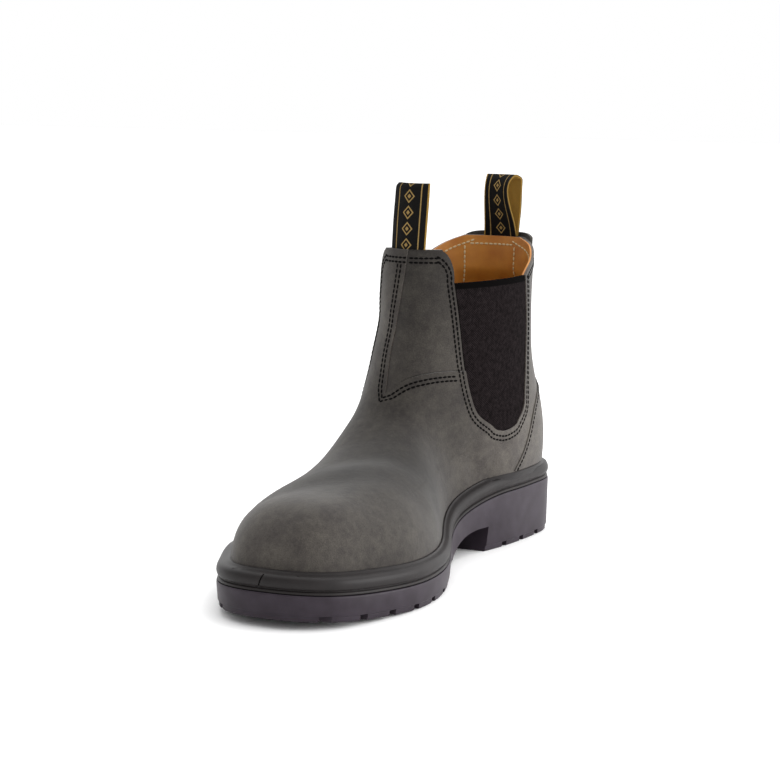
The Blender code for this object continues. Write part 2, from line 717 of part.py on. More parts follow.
def panel_grid(columns, count):
    """Turns and heights of the panel that is let in at the front, on the medial side."""
    bottom = spline(PANEL_ROWS, "across", "bottom")
    across = np.linspace(0, 1, columns)
    low = bottom(across)
    heights = low + (COLLAR_HEIGHT - FIT_GAP - low) * np.linspace(0, 1, count)[:, None]
    share = (heights - PANEL_BOTTOM) / (COLLAR_HEIGHT - PANEL_BOTTOM)
    seam = spline(SEAM_ROWS, "up", "turn")(share)
    gore = spline(GORE_ROWS, "up", "front")
    edge = gore(np.clip((heights - GORE_BOTTOM) / (GORE_TOP - GORE_BOTTOM), 0, 1))
    edge = edge - (peak_corner(heights) + 2 * FIT_GAP) * DEGREES_PER_METRE
    return seam + (edge - seam) * across, heights


def build_panel(upper):
    turns, heights = panel_grid(10, 10)
    mesh = patch_solid("front_panel", turns, heights, -PANEL_SET_BACK - PANEL_WALL, -PANEL_SET_BACK)
    new_object("front_panel", mesh, (0.070, 0.069, 0.066), 0.75)
    turns[:, 0] -= 1.5 * FIT_GAP * DEGREES_PER_METRE
    turns[:, -1] += 5 * FIT_GAP * DEGREES_PER_METRE
    heights[0] -= 1.5 * FIT_GAP
    turns = np.concatenate([turns, turns[-1:]])
    heights = np.concatenate([heights, heights[-1:] + CUTTER_OUT])
    window = patch_solid("panel_window", turns, heights, -PANEL_SET_BACK - PANEL_WALL - FIT_GAP, CUTTER_OUT)
    cut(upper, cutter("panel_window", window))


def widen(turns, heights, grow):
    """Moves the two side edges of a patch out by grow, square to themselves."""
    for column, side in ((0, -1), (-1, 1)):
        lean = np.gradient(turns[:, column], heights[:, column]) / DEGREES_PER_METRE
        turns[:, column] += side * grow * DEGREES_PER_METRE * np.sqrt(1 + lean**2)


def build_heel_patch(upper):
    bottom = HEEL_BED + RAND_LIP + 2 * FIT_GAP
    turns, heights = patch_grid(HEEL_PATCH_ROWS, bottom, PATCH_TOP, 17, 10, crowding=0.6)
    mesh = patch_solid("heel_patch", turns, heights, -PATCH_DEPTH, PATCH_RISE)
    new_object("heel_patch", mesh, (0.060, 0.059, 0.057), 0.75)
    widen(turns, heights, 2 * FIT_GAP)
    heights[0] -= 1.5 * FIT_GAP
    heights[-1] += 1.5 * FIT_GAP
    window = patch_solid("heel_window", turns, heights, -PATCH_DEPTH - FIT_GAP, CUTTER_OUT)
    cut(upper, cutter("heel_window", window))


def capped_loft(bm, rings):
    rows = loft(bm, rings)
    rung_cap(bm, rows[0])
    rung_cap(bm, rows[-1])


def build_insole():
    edge = ledge_at(AROUND_SHARES) + UPPER_WALL + INSOLE_SLACK
    profile = [
        (edge, over_bed(FIT_GAP)),
        (edge, over_bed(INSOLE_THICKNESS + 0.4 * INSOLE_CUP)),
        (edge + 0.7 * MM, over_bed(INSOLE_THICKNESS + 0.5 * INSOLE_CUP)),
        (edge + 1.8 * MM, over_bed(INSOLE_THICKNESS + 0.4 * INSOLE_CUP)),
        (edge + 6.0 * MM, over_bed(INSOLE_THICKNESS)),
    ]
    mesh = mesh_from("insole", lambda bm: capped_loft(bm, sole_rings(profile)))
    new_object("insole", mesh, (0.30, 0.17, 0.07), 0.85)


LoopRow = namedtuple("LoopRow", "up outer inner")
LOOP_ROWS = [
    # up the loop from the collar (0) to its top (1), how far its outer and inner faces bow out and in
    LoopRow(0.00, 0.00, 0.00),
    LoopRow(0.20, 0.03, 0.22),
    LoopRow(0.45, 0.06, 0.62),
    LoopRow(0.70, 0.02, 0.92),
    LoopRow(0.88, 0.00, 0.86),
    LoopRow(0.97, -0.20, 0.60),
    LoopRow(1.00, -0.45, 0.45),
]


def loop_sections(bulge):
    """Outlines of a pull loop from the side, as (out, up) points: its outer face, then the hole in it."""
    outer_bow = spline(LOOP_ROWS, "up", "outer")
    inner_bow = spline(LOOP_ROWS, "up", "inner")
    up = np.sin(np.linspace(0.04, 0.5, 8) * math.pi)
    up = (up - up[0]) / (up[-1] - up[0])
    front = np.column_stack([bulge * outer_bow(up) - SEAT_DEPTH, LOOP_RISE * up])
    back = np.column_stack([-bulge * inner_bow(up) - SEAT_DEPTH - 2 * LOOP_WALL, LOOP_RISE * up])
    front[-1] = 0.5 * (front[-1] + back[-1])
    contour = np.concatenate([front, back[-2::-1]])
    lift = np.roll(contour, -1, 0) - np.roll(contour, 1, 0)
    lift[0], lift[-1] = (0, 1), (0, -1)
    hole = contour + unit(np.column_stack([lift[:, 1], -lift[:, 0]])) * -LOOP_WALL
    crotch = np.array([0.5 * (contour[0, 0] + contour[-1, 0]), 2 * LOOP_WALL])
    return contour, hole, crotch, hole[:, 1] > crotch[1] + 1.5 * MM


def build_loop(name, turn, bulge, upper, colour):
    """A doubled webbing loop whose tail is let down into the collar's wall."""
    contour, hole, crotch, keep = loop_sections(bulge)
    half = 0.5 * LOOP_WIDTH * DEGREES_PER_METRE * LOOP_ARC
    turns = turn + np.linspace(-half, half, 7)

    def placed(points):
        height = np.minimum(COLLAR_HEIGHT + points[:, 1], COLLAR_HEIGHT)
        grid = shaft_point(turns[:, None], height[None, :], points[None, :, 0])
        rise = np.maximum(points[:, 1], 0)
        grid[..., 0] += LOOP_LEAN * rise / LOOP_RISE
        grid[..., 2] += rise
        return grid

    tail = np.array([[contour[0, 0], -LOOP_TAIL], [contour[-1, 0], -LOOP_TAIL]])
    outside = placed(np.concatenate([tail[:1], contour, tail[1:]]))
    inside = placed(np.concatenate([crotch[None], hole[keep]]))

    def build(bm):
        outer_rows = loft(bm, outside)
        inner_rows = loft(bm, inside)
        first = int(np.flatnonzero(keep)[0]) + 1
        last = int(np.flatnonzero(keep)[-1]) + 1
        for outer, inner in ((outer_rows[0], inner_rows[0]), (outer_rows[-1], inner_rows[-1])):
            for i in range(first, last):
                bm.faces.new((outer[i], outer[i + 1], inner[i - first + 2], inner[i - first + 1]))
            bm.faces.new(outer[: first + 1] + [inner[1], inner[0], inner[-1]] + outer[last:])

    new_object(name, mesh_from(name, build), colour, 0.85)
    gap = 2 * FIT_GAP * DEGREES_PER_METRE
    slot_turns = np.repeat(np.linspace(turns[0] - gap, turns[-1] + gap, 7)[None], 5, 0)
    slot_heights = np.linspace(COLLAR_HEIGHT - LOOP_TAIL - FIT_GAP, COLLAR_HEIGHT + CUTTER_OUT, 5)
    slot_heights = np.repeat(slot_heights[:, None], 7, 1)
    deep = -SEAT_DEPTH - 2 * LOOP_WALL - FIT_GAP
    slot = patch_solid(name + "_slot", slot_turns, slot_heights, deep, -SEAT_DEPTH + FIT_GAP)
    cut(upper, cutter(name + "_slot", slot))


def groove_stations():
    """Places along the sole of the grooves between its edge lugs, under the forefoot and under the heel."""
    front = SOLE_LENGTH * (0.5 - TREAD_FRONT)
    waist = SOLE_LENGTH * (0.5 - TREAD_BACK)
    breast = 0.5 * SOLE_LENGTH - HEEL_BLOCK
    heel = np.arange(breast + LUG_PITCH, 0.5 * SOLE_LENGTH - 0.5 * LUG_PITCH, LUG_PITCH)
    return np.concatenate([np.arange(front, waist, LUG_PITCH), heel])


def build_tread_cutter():
    """Short bars let in from the sole's edge towards its middle."""

    def build(bm):
        for y in groove_stations():
            for shares in (FEATHER_SHARES, 1 - FEATHER_SHARES):
                edge = outline(shares, 0.0)
                x = np.interp(y, edge[:, 1], edge[:, 0])
                made = bmesh.ops.create_cube(bm, size=1)["verts"]
                bmesh.ops.scale(bm, vec=(2 * LUG_REACH, LUG_GAP, 2 * LUG_DEPTH), verts=made)
                bmesh.ops.translate(bm, vec=(x, y, floor_height(y)), verts=made)

    return cutter("tread_cutter", mesh_from("tread_cutter", build))


def build_channel_cutter():
    """A groove that runs round the tread and parts its edge lugs from its middle."""
    rings = []
    for inset, level in ((0, -1), (1, -1), (1, 1), (0, 1)):
        flat = outline(AROUND_SHARES, LUG_REACH + inset * CHANNEL_WIDTH)
        rings.append(np.column_stack([flat, floor_height(flat[:, 1]) + level * LUG_DEPTH]))
    mesh = mesh_from("channel_cutter", lambda bm: loft(bm, rings, closed_along=True))
    return cutter("channel_cutter", mesh)


def wall_at(points):
    """The upper's wall, which is thicker at the two peaks where the pull loops are sewn in."""
    beside = np.abs(points[..., 0] - AXIS_X) - 0.5 * LOOP_WIDTH
    below = COLLAR_HEIGHT - LOOP_TAIL - points[..., 2]
    near = smooth_step(1.5 - beside / PEAK_BLEND) * smooth_step(1.5 - below / PEAK_BLEND)
    return UPPER_WALL + (PEAK_WALL - UPPER_WALL) * near


def build_upper(colour):
    rises = np.linspace(0, 1, UPPER_RINGS)
    outer = np.array([over_bed_ring(FIT_GAP)] + [upper_ring(rise) for rise in rises[1:]])
    normals = np.array([last_normals(ring) for ring in outer])
    normals[0, :, 2] = 0
    inner = outer - wall_at(outer)[..., None] * evened(unit(normals), 12)
    inner[0, :, 2] = outer[0, :, 2]
    inner[-1, :, 2] = outer[-1, :, 2] = COLLAR_HEIGHT

    def build(bm):
        loft(bm, np.concatenate([outer, inner[::-1]]), closed_along=True)

    return new_object("upper", mesh_from("upper", build), colour, 0.75)


def main():
    for old in list(bpy.data.objects):
        bpy.data.objects.remove(old)
    rubber = (0.030, 0.028, 0.031)
    leather = (0.075, 0.073, 0.070)
    webbing = (0.02, 0.019, 0.018)
    new_object("midsole", mesh_from("midsole", build_midsole), (0.035, 0.031, 0.030), 0.5)
    outsole = new_object("outsole", mesh_from("outsole", build_outsole), rubber, 0.45)
    cut(outsole, prism("arch_cutter", arch_outline(), BALL_WIDTH))
    cut(outsole, build_channel_cutter())
    cut(outsole, build_tread_cutter())
    upper = build_upper(leather)
    build_gores(upper)
    build_panel(upper)
    build_heel_patch(upper)
    build_insole()
    build_loop("pull_loop_front", LOOP_TURN_FRONT, LOOP_BULGE_FRONT, upper, webbing)
    build_loop("pull_loop_back", LOOP_TURN_BACK, LOOP_BULGE_BACK, upper, webbing)
    settle_cuts(upper)


main()
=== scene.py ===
# Side gore work boot, right foot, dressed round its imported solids.
# Metres throughout: the toe points to -Y, the inner side of the foot to +X, and the floor is at Z = 0.
import math
from functools import partial

import bmesh
import bpy
import numpy as np
from mathutils import Matrix, Vector
from mathutils.kdtree import KDTree


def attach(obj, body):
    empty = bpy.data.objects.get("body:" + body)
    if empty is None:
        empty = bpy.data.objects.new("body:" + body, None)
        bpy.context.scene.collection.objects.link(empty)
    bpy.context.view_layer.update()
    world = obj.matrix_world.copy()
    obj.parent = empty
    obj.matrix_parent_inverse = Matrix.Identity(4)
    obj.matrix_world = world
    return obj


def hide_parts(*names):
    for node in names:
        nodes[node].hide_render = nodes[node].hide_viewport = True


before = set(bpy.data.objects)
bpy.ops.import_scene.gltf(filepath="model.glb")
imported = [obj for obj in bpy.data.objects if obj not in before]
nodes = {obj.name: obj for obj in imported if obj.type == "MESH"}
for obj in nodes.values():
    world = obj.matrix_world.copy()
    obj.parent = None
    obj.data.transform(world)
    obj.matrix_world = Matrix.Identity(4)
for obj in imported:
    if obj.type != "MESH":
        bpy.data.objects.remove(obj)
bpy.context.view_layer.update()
print("frame loaded:", sorted(nodes))

mm = 0.001

# The boot's form as functions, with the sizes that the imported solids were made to.
last = {
    "length": 300 * mm,
    "ball": 114 * mm,
    "waist": 77 * mm,
    "heel": 82 * mm,
    "toeShift": 7 * mm,
    "ballBed": 20 * mm,
    "heelBed": 38 * mm,
    "spring": 5 * mm,
    "toeHeight": 43 * mm,
    "instep": 84 * mm,
    "collar": 171 * mm,
    "collarLength": 118 * mm,
    "collarWidth": 76 * mm,
    "shaftShift": 3 * mm,
    "taper": 0.12,
    "throat": 22 * mm,
    "feather": 0.4 * mm,
    "throatRise": 0.25,  # share of the shaft's height over which the throat softens
    "toeRound": (0.27, 2.4),
    "heelRound": (0.13, 2.8),
    "boxRound": (0.15, 2.3),
    "lean": 0.24,
}
# along the sole from heel to toe: width, share on the inner side, ledge
soleTable = [
    (0.00, last["heel"], 0.50, 4.5 * mm),
    (0.14, last["heel"], 0.49, 4.5 * mm),
    (0.28, 0.5 * (last["heel"] + last["waist"]), 0.45, 4.5 * mm),
    (0.40, last["waist"], 0.39, 5.0 * mm),
    (0.52, 0.5 * (last["waist"] + last["ball"]), 0.44, 5.0 * mm),
    (0.65, last["ball"], 0.49, 5.0 * mm),
    (0.76, last["ball"], 0.50, 5.0 * mm),
    (0.88, 0.88 * last["ball"], 0.52, 7.0 * mm),
    (1.00, 0.90 * last["ball"], 0.54, 7.0 * mm),
]
# along the sole: height of the ridge over the bed, fullness of the sides and of the top
footTable = [
    (0.00, 0.06 * last["instep"], 2.6, 2.6),
    (0.08, 0.22 * last["instep"], 2.6, 2.6),
    (0.20, 0.78 * last["instep"], 2.5, 2.4),
    (0.35, 0.92 * last["instep"], 2.3, 1.9),
    (0.45, 0.79 * last["instep"], 2.2, 1.8),
    (0.53, 0.64 * last["instep"], 2.2, 1.8),
    (0.60, 0.55 * last["instep"], 2.2, 1.8),
    (0.70, 0.98 * last["toeHeight"], 2.2, 1.8),
    (0.80, 0.87 * last["toeHeight"], 2.4, 2.0),
    (0.90, 0.86 * last["toeHeight"], 2.6, 2.3),
    (1.00, 0.86 * last["toeHeight"], 2.6, 2.3),
]
# up from the heel bed to the collar: how far the back edge lies in from the sole's back, in heel ledges,
# length and width as shares of the collar's, squareness
shaftTable = [
    (rise, back * soleTable[0][3], length * last["collarLength"], width * last["collarWidth"], square)
    for rise, back, length, width, square in [
        (0.00, 1.00, 0.80, 0.975, 2.5),
        (0.15, 0.60, 0.86, 0.990, 2.5),
        (0.33, 0.95, 0.96, 0.965, 2.3),
        (0.50, 2.10, 1.02, 0.950, 2.1),
        (0.62, 2.80, 1.02, 0.960, 2.1),
        (0.75, 3.20, 1.02, 0.975, 2.1),
        (1.00, 3.15, 1.00, 1.000, 2.1),
    ]
]
collar, heelBed = last["collar"], last["heelBed"]


def smoothStep(value):
    value = np.clip(value, 0.0, 1.0)
    return value * value * (3 - 2 * value)


def tableCurve(table, column):
    # a smooth curve through one column of a table
    x = np.array([row[0] for row in table])
    y = np.array([row[column] for row in table])
    step = np.diff(x)
    count = len(x)
    matrix = np.eye(count)
    slope = np.zeros(count)
    for i in range(1, count - 1):
        matrix[i, i - 1 : i + 2] = step[i - 1], 2 * (step[i - 1] + step[i]), step[i]
        slope[i] = 6 * ((y[i + 1] - y[i]) / step[i] - (y[i] - y[i - 1]) / step[i - 1])
    bend = np.linalg.solve(matrix, slope)

    def value(at):
        at = np.clip(at, x[0], x[-1])
        i = np.clip(np.searchsorted(x, at) - 1, 0, count - 2)
        h, a, b = step[i], x[i + 1] - at, at - x[i]
        return (
            (bend[i] * a**3 + bend[i + 1] * b**3) / (6 * h)
            + (y[i] / h - bend[i] * h / 6) * a
            + (y[i + 1] / h - bend[i + 1] * h / 6) * b
        )

    return value


soleWidth, soleInner, soleLedge = [tableCurve(soleTable, i) for i in (1, 2, 3)]
footHeight, footSide, footTop = [tableCurve(footTable, i) for i in (1, 2, 3)]
shaftBack, shaftLength, shaftWidth, shaftSquare = [tableCurve(shaftTable, i) for i in (1, 2, 3, 4)]


def roundedEnd(distance, rounding):
    depth, fullness = rounding
    return (1 - np.clip(1 - distance / depth, 0.0, 1.0) ** fullness) ** (1 / fullness)


def alongOf(y):
    return 0.5 - y / last["length"]


def soleEdge(around):
    # around runs 0 to 1: toe, inner side, heel, outer side
    angle = 2 * math.pi * around
    along = 0.5 + 0.5 * np.cos(angle)
    share = np.where(np.sin(angle) >= 0, soleInner(along), soleInner(along) - 1)
    ends = roundedEnd(1 - along, last["toeRound"]) * roundedEnd(along, last["heelRound"])
    x = last["toeShift"] * smoothStep(2 * along - 1) + share * soleWidth(along) * ends
    return np.stack([x, last["length"] * (0.5 - along)], -1)


plan = soleEdge(np.linspace(0, 1, 721))
planMiddle = 0.5 * (plan.min(0) + plan.max(0))


def outline(around, inset):
    around = np.asarray(around, float)
    tangent = soleEdge(around + 0.001) - soleEdge(around - 0.001)
    tangent /= np.linalg.norm(tangent, axis=-1, keepdims=True)
    inward = np.stack([-tangent[..., 1], tangent[..., 0]], -1)
    return soleEdge(around) - planMiddle + inward * np.broadcast_to(inset, around.shape)[..., None]


def ledgeAt(around):
    return soleLedge(0.5 + 0.5 * np.cos(2 * math.pi * np.asarray(around)))


def toeLift(y):
    return np.clip((alongOf(y) - 0.70) / 0.30, 0, 1) ** 2 * last["spring"]


def bedHeight(y):
    heel = smoothStep((0.56 - alongOf(y)) / 0.32)
    return last["ballBed"] + heel * (heelBed - last["ballBed"]) + toeLift(y)


featherShares = np.linspace(0, 0.5, 361)
innerFeather = outline(featherShares, ledgeAt(featherShares))
outerFeather = outline(1 - featherShares, ledgeAt(featherShares))
footTip, footEnd = innerFeather[0, 1], innerFeather[-1, 1]
axisX = 0.5 * (innerFeather[-60, 0] + outerFeather[-60, 0]) + last["shaftShift"]
axisY = 0.5 * last["length"] - shaftBack(1.0) - 0.5 * last["collarLength"]
tiny = 1e-6


def footValue(x, y, z):
    along = alongOf(y)
    inner = np.interp(y, innerFeather[:, 1], innerFeather[:, 0])
    outer = np.interp(y, outerFeather[:, 1], outerFeather[:, 0])
    lean = last["lean"] * smoothStep((along - 0.3) / 0.4)
    ridge = 0.5 * (inner + outer) + 0.5 * lean * (inner - outer)
    half = np.where(x > ridge, inner - ridge, ridge - outer) + tiny
    height = footHeight(along) * roundedEnd(alongOf(footTip) - along, last["boxRound"]) + tiny
    up = np.clip((z - bedHeight(y)) / height, 0, None)
    size = (np.abs(x - ridge) / half) ** footSide(along) + up ** footTop(along)
    beyond = np.maximum(y - footEnd, footTip - y)
    scale = np.minimum(0.5 * (inner - outer), height) + tiny
    return np.where(beyond > 0, beyond, (size ** (1 / footSide(along)) - 1) * scale)


def shaftValue(x, y, z):
    up = (z - heelBed) / (collar - heelBed)
    halfLength = 0.5 * shaftLength(up)
    middle = 0.5 * last["length"] - shaftBack(up) - halfLength
    square = shaftSquare(up)
    wider = 1 + last["taper"] * np.clip(up, 0, 1) * np.clip((y - middle) / halfLength, -1, 1)
    halfWidth = 0.5 * shaftWidth(up) * wider
    size = (np.abs(x - axisX) / halfWidth) ** square + (np.abs(y - middle) / halfLength) ** square
    return (size ** (1 / square) - 1) * halfWidth


def lastValue(x, y, z):
    # below 0 inside the last, whose foot and shaft run softly into each other
    foot, shaft = footValue(x, y, z), shaftValue(x, y, z)
    up = (z - heelBed) / (collar - heelBed)
    throat = smoothStep(up / last["throatRise"]) * smoothStep((1 - up) / 0.45)
    soft = last["feather"] + last["throat"] * throat * smoothStep(1.35 - y / axisY)
    near = np.clip(soft - np.abs(foot - shaft), 0, None) / soft
    return np.minimum(foot, shaft) - near**2 * soft / 4


def meetLast(start, reach, heightAt):
    # where rays from start, along reach, leave the last
    low, high = np.zeros(len(start)), np.ones(len(start))
    for _ in range(24):
        middle = 0.5 * (low + high)
        point = start + reach * middle[:, None]
        inside = lastValue(point[:, 0], point[:, 1], heightAt(point[:, 1])) < 0
        low, high = np.where(inside, middle, low), np.where(inside, high, middle)
    point = start + reach * low[:, None]
    return np.column_stack([point, heightAt(point[:, 1])])


def unit(vectors):
    return vectors / (np.linalg.norm(vectors, axis=-1, keepdims=True) + 1e-12)


def levelled(vectors):
    return unit(vectors * (1, 1, 0))


def lastNormals(points):
    flat = points.reshape(-1, 3)
    slopes = [lastValue(*(flat + s).T) - lastValue(*(flat - s).T) for s in np.eye(3) * 0.2 * mm]
    return unit(np.stack(slopes, -1)).reshape(points.shape)


def shaftSurface(turn, height):
    # turn is in degrees from the front, towards the inner side
    turn, height = np.broadcast_arrays(np.asarray(turn, float), np.asarray(height, float))
    angle, level = np.radians(turn.ravel()), height.ravel()
    start = np.column_stack([np.full(len(angle), axisX), np.full(len(angle), axisY)])
    reach = np.column_stack([np.sin(angle), -np.cos(angle)]) * last["length"]
    return meetLast(start, reach, lambda y: level).reshape(*turn.shape, 3)


def levelRing(heightAt, rise, shares):
    reaches = np.array([[0, -last["length"]], [0, last["length"]]])
    front, back = meetLast(np.array([[axisX, axisY]] * 2), reaches, heightAt)[:, 1]
    reach = smoothStep((axisY - front) / (0.5 * last["length"]) - 0.5)
    frontRound = 0.5 * last["collarLength"] * (1 - reach) + 0.40 * last["ball"] * reach
    backRound = 0.42 * last["heel"]
    angle = 2 * math.pi * shares
    share = 0.5 + 0.5 * np.cos(angle)
    y = (back - backRound) * (1 - share) + (front + frontRound) * share
    forward = smoothStep((alongOf(y) - 0.3) / 0.5)
    start = np.column_stack([axisX + (innerFeather[0, 0] - axisX) * forward * (1 - rise), y])
    direction = np.column_stack([np.sin(angle), -np.cos(angle) * np.abs(np.cos(angle))])
    return meetLast(start, direction * last["length"], heightAt)


def upperRing(rise, shares):
    # one ring of the last, which slopes from the top line down to the heel
    low = math.atan2(bedHeight(footTip) - heelBed, axisY - footTip)
    high = math.atan2(collar - heelBed, 0.5 * last["collarLength"])
    rate = math.tan(low + (high - low) * rise)

    def slopeAt(y):
        return heelBed + (axisY - y) * rate

    front = meetLast(np.array([[axisX, axisY]]), np.array([[0, -last["length"]]]), slopeAt)[0]
    backY = 0.5 * last["length"]
    backHeight = heelBed + (collar - heelBed) * rise

    def heightAt(y):
        share = np.clip((backY - y) / (backY - front[1]), 0, None)
        bow = bedHeight(y) - (heelBed + (bedHeight(front[1]) - heelBed) * share)
        return backHeight + (front[2] - backHeight) * share + bow * (1 - rise) ** 2

    return levelRing(heightAt, rise, shares)


def gridVerts(bm, points):
    rows, columns = points.shape[:2]
    made = bmesh.ops.create_grid(bm, x_segments=columns - 1, y_segments=rows - 1, size=1)["verts"]
    for vert, point in zip(made, points.reshape(-1, 3)):
        vert.co = point


def smooth(mesh, angle=40):
    mesh.shade_smooth()
    mesh.set_sharp_from_angle(angle=math.radians(angle))


def asObject(name, bm, smoothAngle=40):
    mesh = bpy.data.meshes.new(name)
    bm.to_mesh(mesh)
    bm.free()
    smooth(mesh, smoothAngle)
    made = bpy.data.objects.new(name, mesh)
    bpy.context.scene.collection.objects.link(made)
    return made


def turnOutwards(bm):
    bmesh.ops.recalc_face_normals(bm, faces=bm.faces)
    if bm.calc_volume(signed=True) < 0:
        bmesh.ops.reverse_faces(bm, faces=bm.faces)


def closeUp(bm):
    # merges what meets and fills what is open
    bmesh.ops.remove_doubles(bm, verts=bm.verts, dist=1e-6)
    rims = [edge for edge in bm.edges if edge.is_boundary]
    if rims:
        bmesh.ops.holes_fill(bm, edges=rims, sides=0)
    turnOutwards(bm)


def tubeFrom(name, rings, smoothAngle=40):
    # rings of points, each closed on itself, with both ends filled
    bm = bmesh.new()
    gridVerts(bm, np.concatenate([rings, rings[:, :1]], 1))
    closeUp(bm)
    return asObject(name, bm, smoothAngle)


def bandFrom(name, outer, inner):
    # a wall that closes on itself all round: outer rings up, inner rings down
    return tubeFrom(name, np.concatenate([outer, inner[::-1], outer[:1]]))


def patchFrom(name, outer, inner):
    # a piece of wall between two sheets that share one outline
    bm = bmesh.new()
    gridVerts(bm, outer)
    gridVerts(bm, inner)
    bmesh.ops.bridge_loops(bm, edges=[edge for edge in bm.edges if edge.is_boundary])
    turnOutwards(bm)
    return asObject(name, bm)


def cutAway(target, tools):
    for tool in tools:
        modifier = target.modifiers.new(tool.name, "BOOLEAN")
        modifier.operation = "DIFFERENCE"
        modifier.solver = "MANIFOLD"
        modifier.object = tool
    graph = bpy.context.evaluated_depsgraph_get()
    mesh = bpy.data.meshes.new_from_object(target.evaluated_get(graph))
    target.modifiers.clear()
    target.data = mesh
    smooth(mesh)


def dropTools(tools):
    for tool in tools:
        bpy.data.objects.remove(tool)


def vectorsOf(items, field):
    found = np.empty(len(items) * 3)
    items.foreach_get(field, found)
    return found.reshape(-1, 3)


def runLength(points):
    # how far along a line of points each of them lies
    return np.concatenate([[0], np.cumsum(np.linalg.norm(np.diff(points, axis=0), axis=1))])


def setAttribute(obj, name, values):
    made = obj.data.attributes.new(name, "FLOAT", "POINT")
    made.data.foreach_set("value", np.asarray(values, np.float32))


def dress(obj, node, material):
    # node is None for what is added to a solid
    obj.data.materials.clear()
    obj.data.materials.append(material)
    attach(obj, "root")
    if node:
        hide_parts(node)


def linear(hexColour):
    parts = [int(hexColour[i : i + 2], 16) / 255 for i in (1, 3, 5)]
    return [p / 12.92 if p <= 0.04045 else ((p + 0.055) / 1.055) ** 2.4 for p in parts] + [1.0]


def addNode(tree, kind, inputs=None, stops=(), **settings):
    # an input takes a value, a socket or a node, which then gives its first output, or its colour if it mixes
    made = tree.nodes.new("ShaderNode" + kind)
    if kind == "Mix":
        made.data_type = "RGBA"
    for key, value in settings.items():
        setattr(made, key, value)
    for key, value in (inputs or {}).items():
        if isinstance(value, bpy.types.Node):
            value = value.outputs[2 if value.bl_idname == "ShaderNodeMix" else 0]
        if isinstance(value, bpy.types.NodeSocket):
            tree.links.new(value, made.inputs[key])
        else:
            made.inputs[key].default_value = value
    for i, (at, colour) in enumerate(stops):
        made.color_ramp.elements[i].position = at
        made.color_ramp.elements[i].color = linear(colour)
    return made


def newMaterial(name, surface, noises=(), **look):
    # surface gets addNode for the new tree and one node for each noise (size in millimetres, detail, roughness),
    # adds its own nodes and gives the values of the shader
    material = bpy.data.materials.new(name)
    material.use_nodes = True
    tree = material.node_tree
    tree.nodes.clear()
    grains = []
    for size, detail, rough in noises:
        place = addNode(tree, "TexCoord").outputs["Object"]
        grain = {"Vector": place, "Scale": 1000 / size, "Detail": detail, "Roughness": rough}
        grains.append(addNode(tree, "TexNoise", grain))
    shader = addNode(tree, "BsdfPrincipled", surface(partial(addNode, tree), *grains, **look))
    addNode(tree, "OutputMaterial", {"Surface": shader})
    return material


nubuckLook = {
    "base": "#423e3c",
    "dark": "#322e2c",
    "pale": "#524e47",
    "noises": [(16, 4.0, 0.6), (4.5, 4.0, 0.65), (0.55, 2.0, 0.7)],
}


def nubuckSurface(add, clouds, mottle, nap, base, dark, pale):
    # oiled nubuck: buffed leather with a soft nap, clouded where hands and oil have pressed it flat
    cloudy = add("ValToRGB", {"Fac": clouds}, [(0.35, "#000000"), (0.68, "#ffffff")])
    colour = add("Mix", {0: cloudy, 6: linear(dark), 7: linear(pale)})
    mottled = add("ValToRGB", {"Fac": mottle}, [(0.36, dark), (0.66, pale)])
    colour = add("Mix", {0: 0.5, 6: colour, 7: mottled})
    colour = add("Mix", {0: 0.35, 6: colour, 7: linear(base)})
    # painted light and shade: a per-point attribute scales the colour lighter or darker where light falls more or
    # less on the leather
    paintedLight = add("Attribute", attribute_name="paintedLight").outputs["Fac"]
    paler = add("Math", {0: paintedLight, 1: 1.0}, operation="ADD")
    colour = add("VectorMath", {0: colour, "Scale": paler}, operation="SCALE")
    fleck = add("ValToRGB", {"Fac": nap}, [(0.30, "#8c8c8c"), (0.72, "#ffffff")])
    colour = add("Mix", {0: 0.55, 6: colour, 7: fleck}, blend_type="MULTIPLY")
    bump = add("Bump", {"Height": nap, "Strength": 0.35, "Distance": 0.25 * mm})
    soft = add("Bump", {"Height": mottle, "Strength": 0.35, "Distance": 0.5 * mm, "Normal": bump})
    return {
        "Base Color": colour,
        "Roughness": 0.78,
        "IOR": 1.45,
        "Specular IOR Level": 0.15,
        "Sheen Weight": 0.16,
        "Sheen Roughness": 0.45,
        "Normal": soft,
    }


goreLook = {
    "base": "#050404",
    "ridge": "#231e1f",
    "band": "#060505",
    "ribPitch": 1.6,  # this and the next two in millimetres
    "pickPitch": 1.3,
    "bandFrom": 149.6,
    "noises": [(2.2, 4.0, 0.8)],
}


def goreSurface(add, fleck, base, ridge, band, ribPitch, pickPitch, bandFrom):
    # knitted elastic: rubber threads under a matt polyester face, so it is a fine upright weave with a flat top band
    apart = add("SeparateXYZ", {"Vector": add("UVMap", uv_map="cloth")})
    waves = []
    for axis, pitch in ((0, ribPitch), (1, pickPitch)):
        angle = add("Math", {0: apart.outputs[axis], 1: 2 * math.pi / pitch}, operation="MULTIPLY")
        waves.append(add("Math", {0: angle}, operation="SINE"))
    knit = add("Math", {0: waves[0], 1: waves[1]}, operation="MULTIPLY")
    height = add("Math", {0: knit, 1: 0.5, 2: 0.5}, operation="MULTIPLY_ADD")
    colour = add("Mix", {0: 0.7, 6: height, 7: fleck})
    colour = add("ValToRGB", {"Fac": colour}, [(0.38, base), (0.66, ridge)])
    above = add("Math", {0: apart.outputs[1], 1: bandFrom}, operation="GREATER_THAN")
    colour = add("Mix", {0: above, 6: colour, 7: linear(band)})
    bump = add("Bump", {"Height": height, "Strength": 0.25, "Distance": 0.2 * mm})
    return {"Base Color": colour, "Roughness": 0.95, "Specular IOR Level": 0.02, "Normal": bump}


